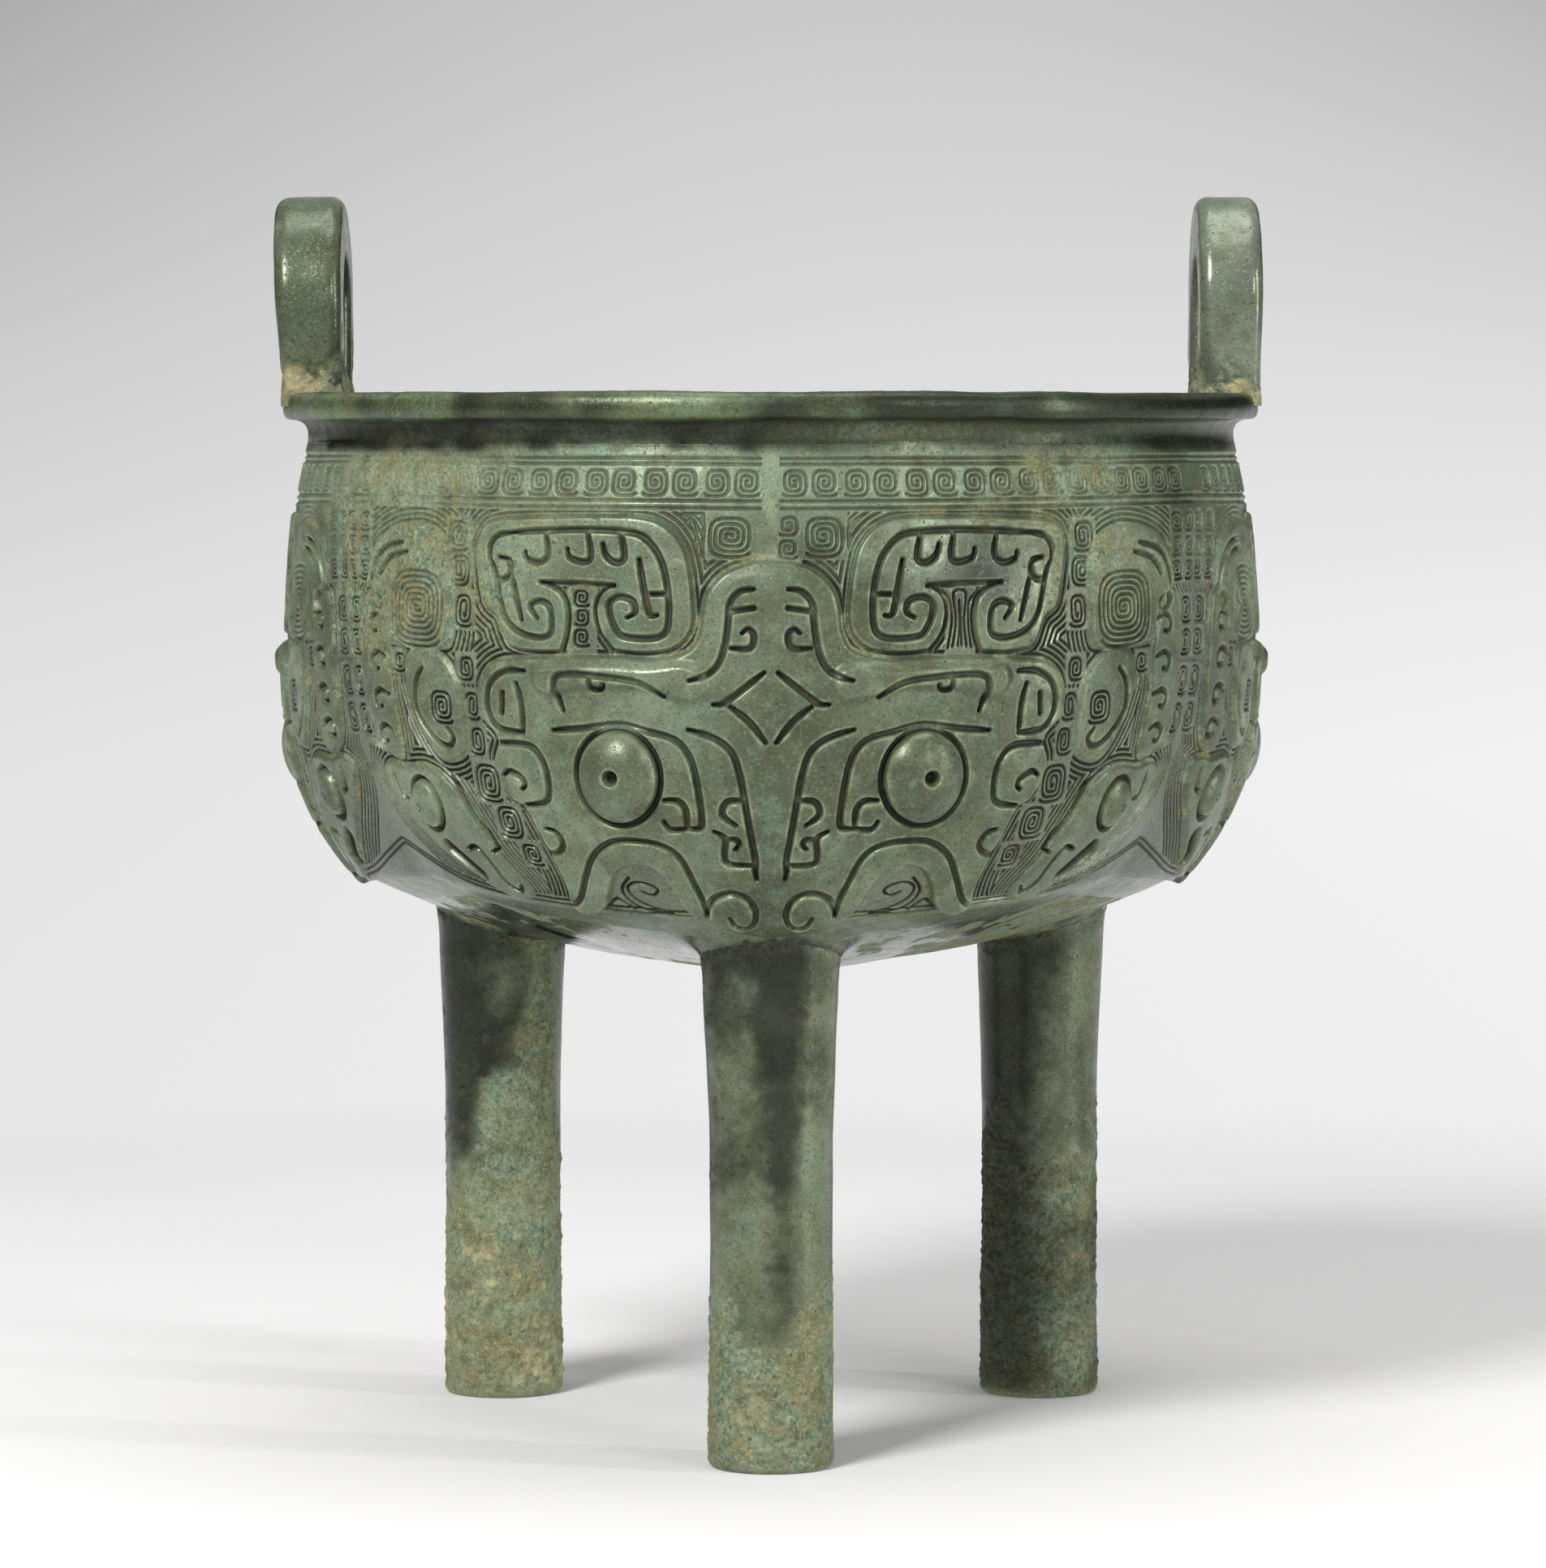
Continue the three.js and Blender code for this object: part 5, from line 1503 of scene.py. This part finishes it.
def growth_colour(nodes, texture, trait, colours):
    """Colour of the burial crust: flecked greens, stained with ochre and soil, cream where thick."""
    share, sums, over = nodes.share, nodes.sums, nodes.over
    growth = nodes.ramp(
        texture["fleck"],
        (0.3, colours.verdigris),
        (0.45, colours.patina_light),
        (0.58, colours.malachite),
        (0.78, colours.patina_dark),
    )
    stain = share(texture["soil"], 0.42, 0.6, 0.9)
    stain = sums("MULTIPLY", stain, share(texture["fleck"], 0.66, 0.42, 1))
    growth = over(growth, colours.verdigris, share(trait["pale"], 0.6, 1.2, 0.6))
    growth = over(growth, colours.crust, stain)
    growth = over(growth, colours.soil, share(texture["mottle"], 0.52, 0.64, 0.65))
    growth = over(growth, colours.patina_dark, share(texture["grit"], 0.45, 0.34, 0.42))
    growth = over(growth, colours.cream, share(texture["grit"], 0.58, 0.68, 0.55))
    thick = share(trait["crust"], 0.8, 1, 0.85)
    thick = sums("MULTIPLY", thick, share(texture["mottle"], 0.62, 0.42, 1, 0.2))
    return over(growth, colours.cream, thick)


def patinated_bronze(name, tones, colours, roughness, metallic):
    """Tin bronze, cast, then turned green in the ground.

    A thin mineral skin lies on the metal: semi-gloss, mottled from dark to pale green at hand size with
    painted light and shade in patches, pitted at grain size, black in the grooves as deposit and
    painted shade, paler on raised edges as wear and as painted highlights, smoky where fire reached it
    and darker as the painted shadow under the lip, and matt verdigris or ochre where burial crust still
    sits.
    """
    nodes = Nodes(name)
    share, sums, over = nodes.share, nodes.sums, nodes.over
    place = (nodes.add("TexCoord"), "Object")
    texture, trait = {}, {}
    for key, (size_mm, detail) in PATINA_NOISES.items():
        texture[key] = nodes.noise(place, size_mm, detail, PATINA_NOISE_ROUGHNESS)
    for key in TRAITS:
        trait[key] = (nodes.add("Attribute", attribute_name=key), "Fac")

    skin = skin_colour(nodes, texture, trait, tones, colours)
    growth = growth_colour(nodes, texture, trait, colours)
    colour = over(skin, growth, share(trait["crust"], 0.04, 0.4, 0.92))

    # Dark smoky patina, and the painted shadow under the lip at the neck
    smoky = sums("MULTIPLY", trait["soot_and_shade"], share(trait["crust"], 0.2, 0.7, 0.75, 0.94))
    colour = over(colour, colours.soot_and_shade_tone, smoky)
    colour = over(colour, colours.groove, share(texture["pit"], 0.64, 0.72, 0.65))
    # Grooves and recesses painted near black: dark deposit, and painted shade
    colour = over(colour, colours.groove, share(trait["hollow"], 0.3, 0.72, 0.93))
    rusty = sums("MULTIPLY", share(texture["mottle"], 0.6, 0.68, 0.7), trait["hollow"])
    colour = over(colour, colours.rust, rusty)

    rough = sums("ADD", share(texture["mottle"], 0.3, 0.7, 0.14), roughness)
    rough = sums("ADD", rough, share(trait["crust"], 0.04, 0.5, 0.42))
    rough = sums("ADD", rough, share(trait["soot_and_shade"], 0.2, 0.8, -0.03))
    rough = sums("ADD", rough, share(trait["hollow"], 0.2, 0.7, 0.2))
    rough = sums("ADD", rough, share(trait["bare"], 0, 1, -0.12))
    metal = share(trait["bare"], 0, 1, metallic + 0.35, metallic)
    metal = sums("ADD", metal, share(trait["soot_and_shade"], 0.2, 1, 0.35))
    normal = nodes.bump(texture["tooth"], strength=0.4, distance_mm=0.06)
    rise = sums("MULTIPLY", texture["grit"], share(trait["crust"], 0.05, 0.6, 1))
    normal = nodes.bump(rise, strength=0.7, distance_mm=0.35, beneath=normal)
    pits = share(texture["pit"], 0.6, 0.74, 1)
    normal = nodes.bump(pits, strength=0.5, distance_mm=0.12, beneath=normal, invert=True)
    inputs = {"Base Color": colour, "Roughness": rough, "Metallic": metal, "Normal": normal}
    return nodes.finish((nodes.add("BsdfPrincipled", inputs), "BSDF"))


def fired_clay():
    """Core clay, baked when the bronze was poured: matt, gritty, brown with darker burnt spots."""
    nodes = Nodes("fired core clay")
    grit = nodes.noise((nodes.add("TexCoord"), "Object"), size_mm=1.2, detail=6)
    tone = nodes.ramp(grit, (0, linear("#4a3524")), (1, linear("#94765a")))
    normal = nodes.bump(grit, strength=1, distance_mm=0.3)
    inputs = {"Base Color": tone, "Roughness": 0.95, "Normal": normal}
    return nodes.finish((nodes.add("BsdfPrincipled", inputs), "BSDF"))


def sweep_paper(colours):
    """Matt photographer's paper: pale on the floor, where it takes the shadow; further back it glows
    for the camera, and the whole sweep glows in reflections, with painted falloff of light: greyer up
    the back, darker in the upper corners and brighter to the right.
    """
    nodes = Nodes("matt sweep paper")
    share, sums = nodes.share, nodes.sums
    place = (nodes.add("NewGeometry"), "Position")
    split = nodes.add("SeparateXYZ", {"Vector": place})
    across, up = (split, "X"), (split, "Z")
    far = (nodes.add("VectorMath", {0: place}, operation="LENGTH"), "Value")
    # Painted falloff of light on the glowing sweep: greyer toward the top, brighter to the right,
    # darker in the upper corners
    rise = share(up, -0.05, 0.62, 1)
    level = share(across, -0.6, 0.6, 1.06, 0.88)
    corner = sums("MULTIPLY", across, rise)
    fall = share(sums("MULTIPLY", corner, corner), 0, 1, -0.35, 1)
    tone = nodes.over(colours.sweep, colours.sweep_top, rise)
    lit = sums("MULTIPLY", level, fall)
    glow = (nodes.add("Emission", {"Color": tone, "Strength": lit}), "Emission")
    shade = (nodes.add("BsdfDiffuse", {"Color": [0.96 * part for part in colours.sweep]}), "BSDF")
    path = nodes.add("LightPath")
    back = share(far, 0.4, 0.64, 1, interpolation_type="SMOOTHSTEP")
    seen = sums("MULTIPLY", (path, "Is Camera Ray"), back)
    mirrored = sums("MULTIPLY", (path, "Is Glossy Ray"), 0.7)
    shown = sums("MAXIMUM", seen, mirrored)
    return nodes.finish((nodes.add("MixShader", {0: shown, 1: shade, 2: glow}), "Shader"))


# The bronze of each part: its material's name, its dark, common and pale tones, its roughness and
# how metallic it is; the walls take their tones from the settings
BRONZES = {
    "underside": ("smoky green patina on cast bronze", ("#50584a", "#6b7264", "#868d80"), 0.2, 0.6),
    "lip": ("green patina with painted highlight and shade on the lip", ("#36422a", "#4b5b3b", "#667a53"), 0.27, 0.3),
    "left ear": ("handled patina on the left ear", ("#38422f", "#4d5944", "#6b7761"), 0.17, 0.35),
    # The right ear's paler, greyer tones are a painted reflection of a lamp on its flat face
    "right ear": ("patina with painted sheen on the right ear", ("#525b4c", "#788270", "#979f8c"), 0.17, 0.35),
    "legs": ("crusted patina on the legs", ("#444b38", "#5f684f", "#7a8468"), 0.27, 0.35),
    "spacers": ("grey-green patina on spacers", ("#4a5142", "#686d5a", "#86907a"), 0.36, 0.35),
}


def bronze_of(part, colours):
    """The patinated bronze of a part."""
    name, hexes, roughness, metallic = BRONZES[part]
    return patinated_bronze(name, [linear(tone) for tone in hexes], colours, roughness, metallic)


# Stage

CAMERA = {"place": (0.0004, -1.335, 0.2074), "pitch": 86.75, "lens": 148, "sensor": 36}
# Place, aim, width, height and power in watts
LAMPS = {
    "key_softbox": ((-0.73, -1.18, 1.2), (0, 0, 0.15), 0.45, 0.45, 24),
    "right_softbox": ((0.84, -1.09, 0.66), (0, 0, 0.16), 0.22, 0.3, 2.9),
    "side_softbox": ((1.22, -0.47, 0.4), (0, 0, 0.1), 0.1, 0.8, 5),
    "overhead_softbox": ((0.1, 0.1, 1.5), (0, 0, 0.2), 1.1, 0.9, 7),
}
WORLD_LIGHT = 0.32
# The sweep's radii: two rings on the floor, the floor's edge and the bend up to its top
COVE = {"rings": (0.001, 0.5), "floor": 2.4, "bend": 0.7, "top": 1.4, "steps": 96, "bend_steps": 16}


def placed(name, data):
    """A new object in the scene."""
    thing = bpy.data.objects.new(name, data)
    bpy.context.scene.collection.objects.link(thing)
    return thing


def cove_line():
    """Radius and height along the sweep, from its middle out and up."""
    floor, bend = COVE["floor"], COVE["bend"]
    line = [(radius, 0.0) for radius in (*COVE["rings"], floor)]
    for turn in np.linspace(0, math.pi / 2, COVE["bend_steps"])[1:]:
        line.append((floor + bend * math.sin(turn), bend - bend * math.cos(turn)))
    line.append((floor + bend, COVE["top"]))
    return line


def pale_sweep(colours):
    """The floor, bent up all round into a backdrop."""
    line, steps = cove_line(), COVE["steps"]
    angles = np.linspace(0, 2 * math.pi, steps, endpoint=False)
    points = [(r * math.sin(a), -r * math.cos(a), z) for r, z in line for a in angles]
    faces = [tuple(range(steps))]
    for row in range(len(line) - 1):
        for i in range(steps):
            j = (i + 1) % steps
            low, high = row * steps, (row + 1) * steps
            faces.append((low + i, high + i, high + j, low + j))
    mesh = bpy.data.meshes.new("sweep")
    mesh.from_pydata(points, [], faces)
    mesh.polygons.foreach_set("use_smooth", [True] * len(faces))
    mesh.materials.append(sweep_paper(colours))
    sweep = placed("sweep", mesh)


def soft_light():
    """The soft lamps and the even light of the studio."""
    for name, (place, aim, width, height, power) in LAMPS.items():
        lamp = bpy.data.lights.new(name, "AREA")
        lamp.shape = "RECTANGLE"
        lamp.size, lamp.size_y, lamp.energy = width, height, power
        holder = placed(name, lamp)
        holder.location = place
        back = [a - b for a, b in zip(place, aim)]
        holder.rotation_euler = Vector(back).to_track_quat("Z", "Y").to_euler()
    world = bpy.data.worlds.new("studio")
    world.use_nodes = True
    light = world.node_tree.nodes["Background"].inputs
    light["Color"].default_value = (1, 1, 1, 1)
    light["Strength"].default_value = WORLD_LIGHT
    bpy.context.scene.world = world


def photo_camera():
    """The camera where the photograph was taken from."""
    camera = bpy.data.cameras.new("camera")
    camera.lens, camera.sensor_width = CAMERA["lens"], CAMERA["sensor"]
    holder = placed("camera", camera)
    holder.location = CAMERA["place"]
    holder.rotation_euler = (math.radians(CAMERA["pitch"]), 0, 0)
    bpy.context.scene.camera = holder
    bpy.context.scene.view_settings.view_transform = "Standard"


# Operators


class LIDING_OT_walls(bpy.types.Operator):
    """Build the wall's mould sections, with the masks in relief"""

    bl_idname = "liding.walls"
    bl_label = "Masked walls"

    def execute(self, context):
        sizes, colours = context.scene.liding_sizes, context.scene.liding_colours
        tones = (colours.patina_dark, colours.patina, colours.patina_light)
        material = patinated_bronze(
            "smooth green patina on cast bronze", tones, colours, roughness=0.3, metallic=0.3
        )
        front, rear = Drawing(**FRONT_MESH), Drawing(**REAR_MESH)
        maps = {drawing: relief_maps(drawing, sizes) for drawing in (front, rear)}
        for lobe, angle in LOBES.items():
            drawing = front if lobe == "front" else rear
            for side, relief in maps[drawing].items():
                for panel in range(drawing.panels):
                    name = f"wall_{lobe}_{side}_{panel + 1}"
                    wall_segment(name, angle, side, drawing, panel, relief, sizes, material)
        return {"FINISHED"}


class LIDING_OT_underside(bpy.types.Operator):
    """Build the rounded underside and the well above it"""

    bl_idname = "liding.underside"
    bl_label = "Underside"

    def execute(self, context):
        sizes, colours = context.scene.liding_sizes, context.scene.liding_colours
        bowl_floor(sizes, bronze_of("underside", colours))
        return {"FINISHED"}


class LIDING_OT_lip(bpy.types.Operator):
    """Build the neck and the turned-out lip"""

    bl_idname = "liding.lip"
    bl_label = "Lip"

    def execute(self, context):
        sizes, colours = context.scene.liding_sizes, context.scene.liding_colours
        lip_ring(sizes, bronze_of("lip", colours))
        return {"FINISHED"}


class LIDING_OT_ears(bpy.types.Operator):
    """Build the two upright loop handles"""

    bl_idname = "liding.ears"
    bl_label = "Ears"

    def execute(self, context):
        sizes, colours = context.scene.liding_sizes, context.scene.liding_colours
        for side in ("left", "right"):
            ear(side, sizes, bronze_of(f"{side} ear", colours))
        return {"FINISHED"}


class LIDING_OT_legs(bpy.types.Operator):
    """Build the three column legs with their burial crust, and finish the clay cores in them"""

    bl_idname = "liding.legs"
    bl_label = "Legs"

    def execute(self, context):
        sizes, colours = context.scene.liding_sizes, context.scene.liding_colours
        material, clay = bronze_of("legs", colours), fired_clay()
        for seed, (lobe, angle) in enumerate(LOBES.items()):
            leg(lobe, angle, seed, sizes, material)
            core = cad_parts[f"leg_core_{lobe}"].data.materials
            core.clear()
            core.append(clay)
        return {"FINISHED"}


class LIDING_OT_spacers(bpy.types.Operator):
    """Build the square spacers left in the underside"""

    bl_idname = "liding.spacers"
    bl_label = "Spacers"

    def execute(self, context):
        colours = context.scene.liding_colours
        material = bronze_of("spacers", colours)
        for i in range(LOBE_COUNT):
            chaplet(2 * i + 1, i * LOBE_ANGLE, INNER_CHAPLET_RADIUS, material)
            chaplet(2 * i + 2, (i + 0.5) * LOBE_ANGLE, OUTER_CHAPLET_RADIUS, material)
        return {"FINISHED"}


class LIDING_OT_stage(bpy.types.Operator):
    """Set the pale sweep, the soft lamps and the camera"""

    bl_idname = "liding.stage"
    bl_label = "Stage"

    def execute(self, context):
        pale_sweep(context.scene.liding_colours)
        soft_light()
        photo_camera()
        return {"FINISHED"}


OPERATORS = (
    LIDING_OT_walls,
    LIDING_OT_underside,
    LIDING_OT_lip,
    LIDING_OT_ears,
    LIDING_OT_legs,
    LIDING_OT_spacers,
    LIDING_OT_stage,
)


class LIDING_PT_panel(bpy.types.Panel):
    """Lists the steps of the build with its sizes and colours"""

    bl_idname = "LIDING_PT_panel"
    bl_label = "Bronze li ding"
    bl_space_type = "VIEW_3D"
    bl_region_type = "UI"
    bl_category = "Li ding"

    def draw(self, context):
        for operator in OPERATORS:
            self.layout.operator(operator.bl_idname)
        for group in (context.scene.liding_sizes, context.scene.liding_colours):
            for key in group.__annotations__:
                self.layout.prop(group, key)


CLASSES = (LidingSizes, LidingColours, *OPERATORS, LIDING_PT_panel)


def register():
    """Registers the classes and hangs the settings on the scene."""
    for cls in CLASSES:
        bpy.utils.register_class(cls)
    bpy.types.Scene.liding_sizes = bpy.props.PointerProperty(type=LidingSizes)
    bpy.types.Scene.liding_colours = bpy.props.PointerProperty(type=LidingColours)


def unregister():
    """Takes the settings and the classes away again."""
    del bpy.types.Scene.liding_sizes
    del bpy.types.Scene.liding_colours
    for cls in reversed(CLASSES):
        bpy.utils.unregister_class(cls)


def main():
    """Builds every piece and the stage."""
    register()
    bpy.ops.liding.walls()
    bpy.ops.liding.underside()
    bpy.ops.liding.lip()
    bpy.ops.liding.ears()
    bpy.ops.liding.legs()
    bpy.ops.liding.spacers()
    bpy.ops.liding.stage()


if __name__ == "__main__":
    main()
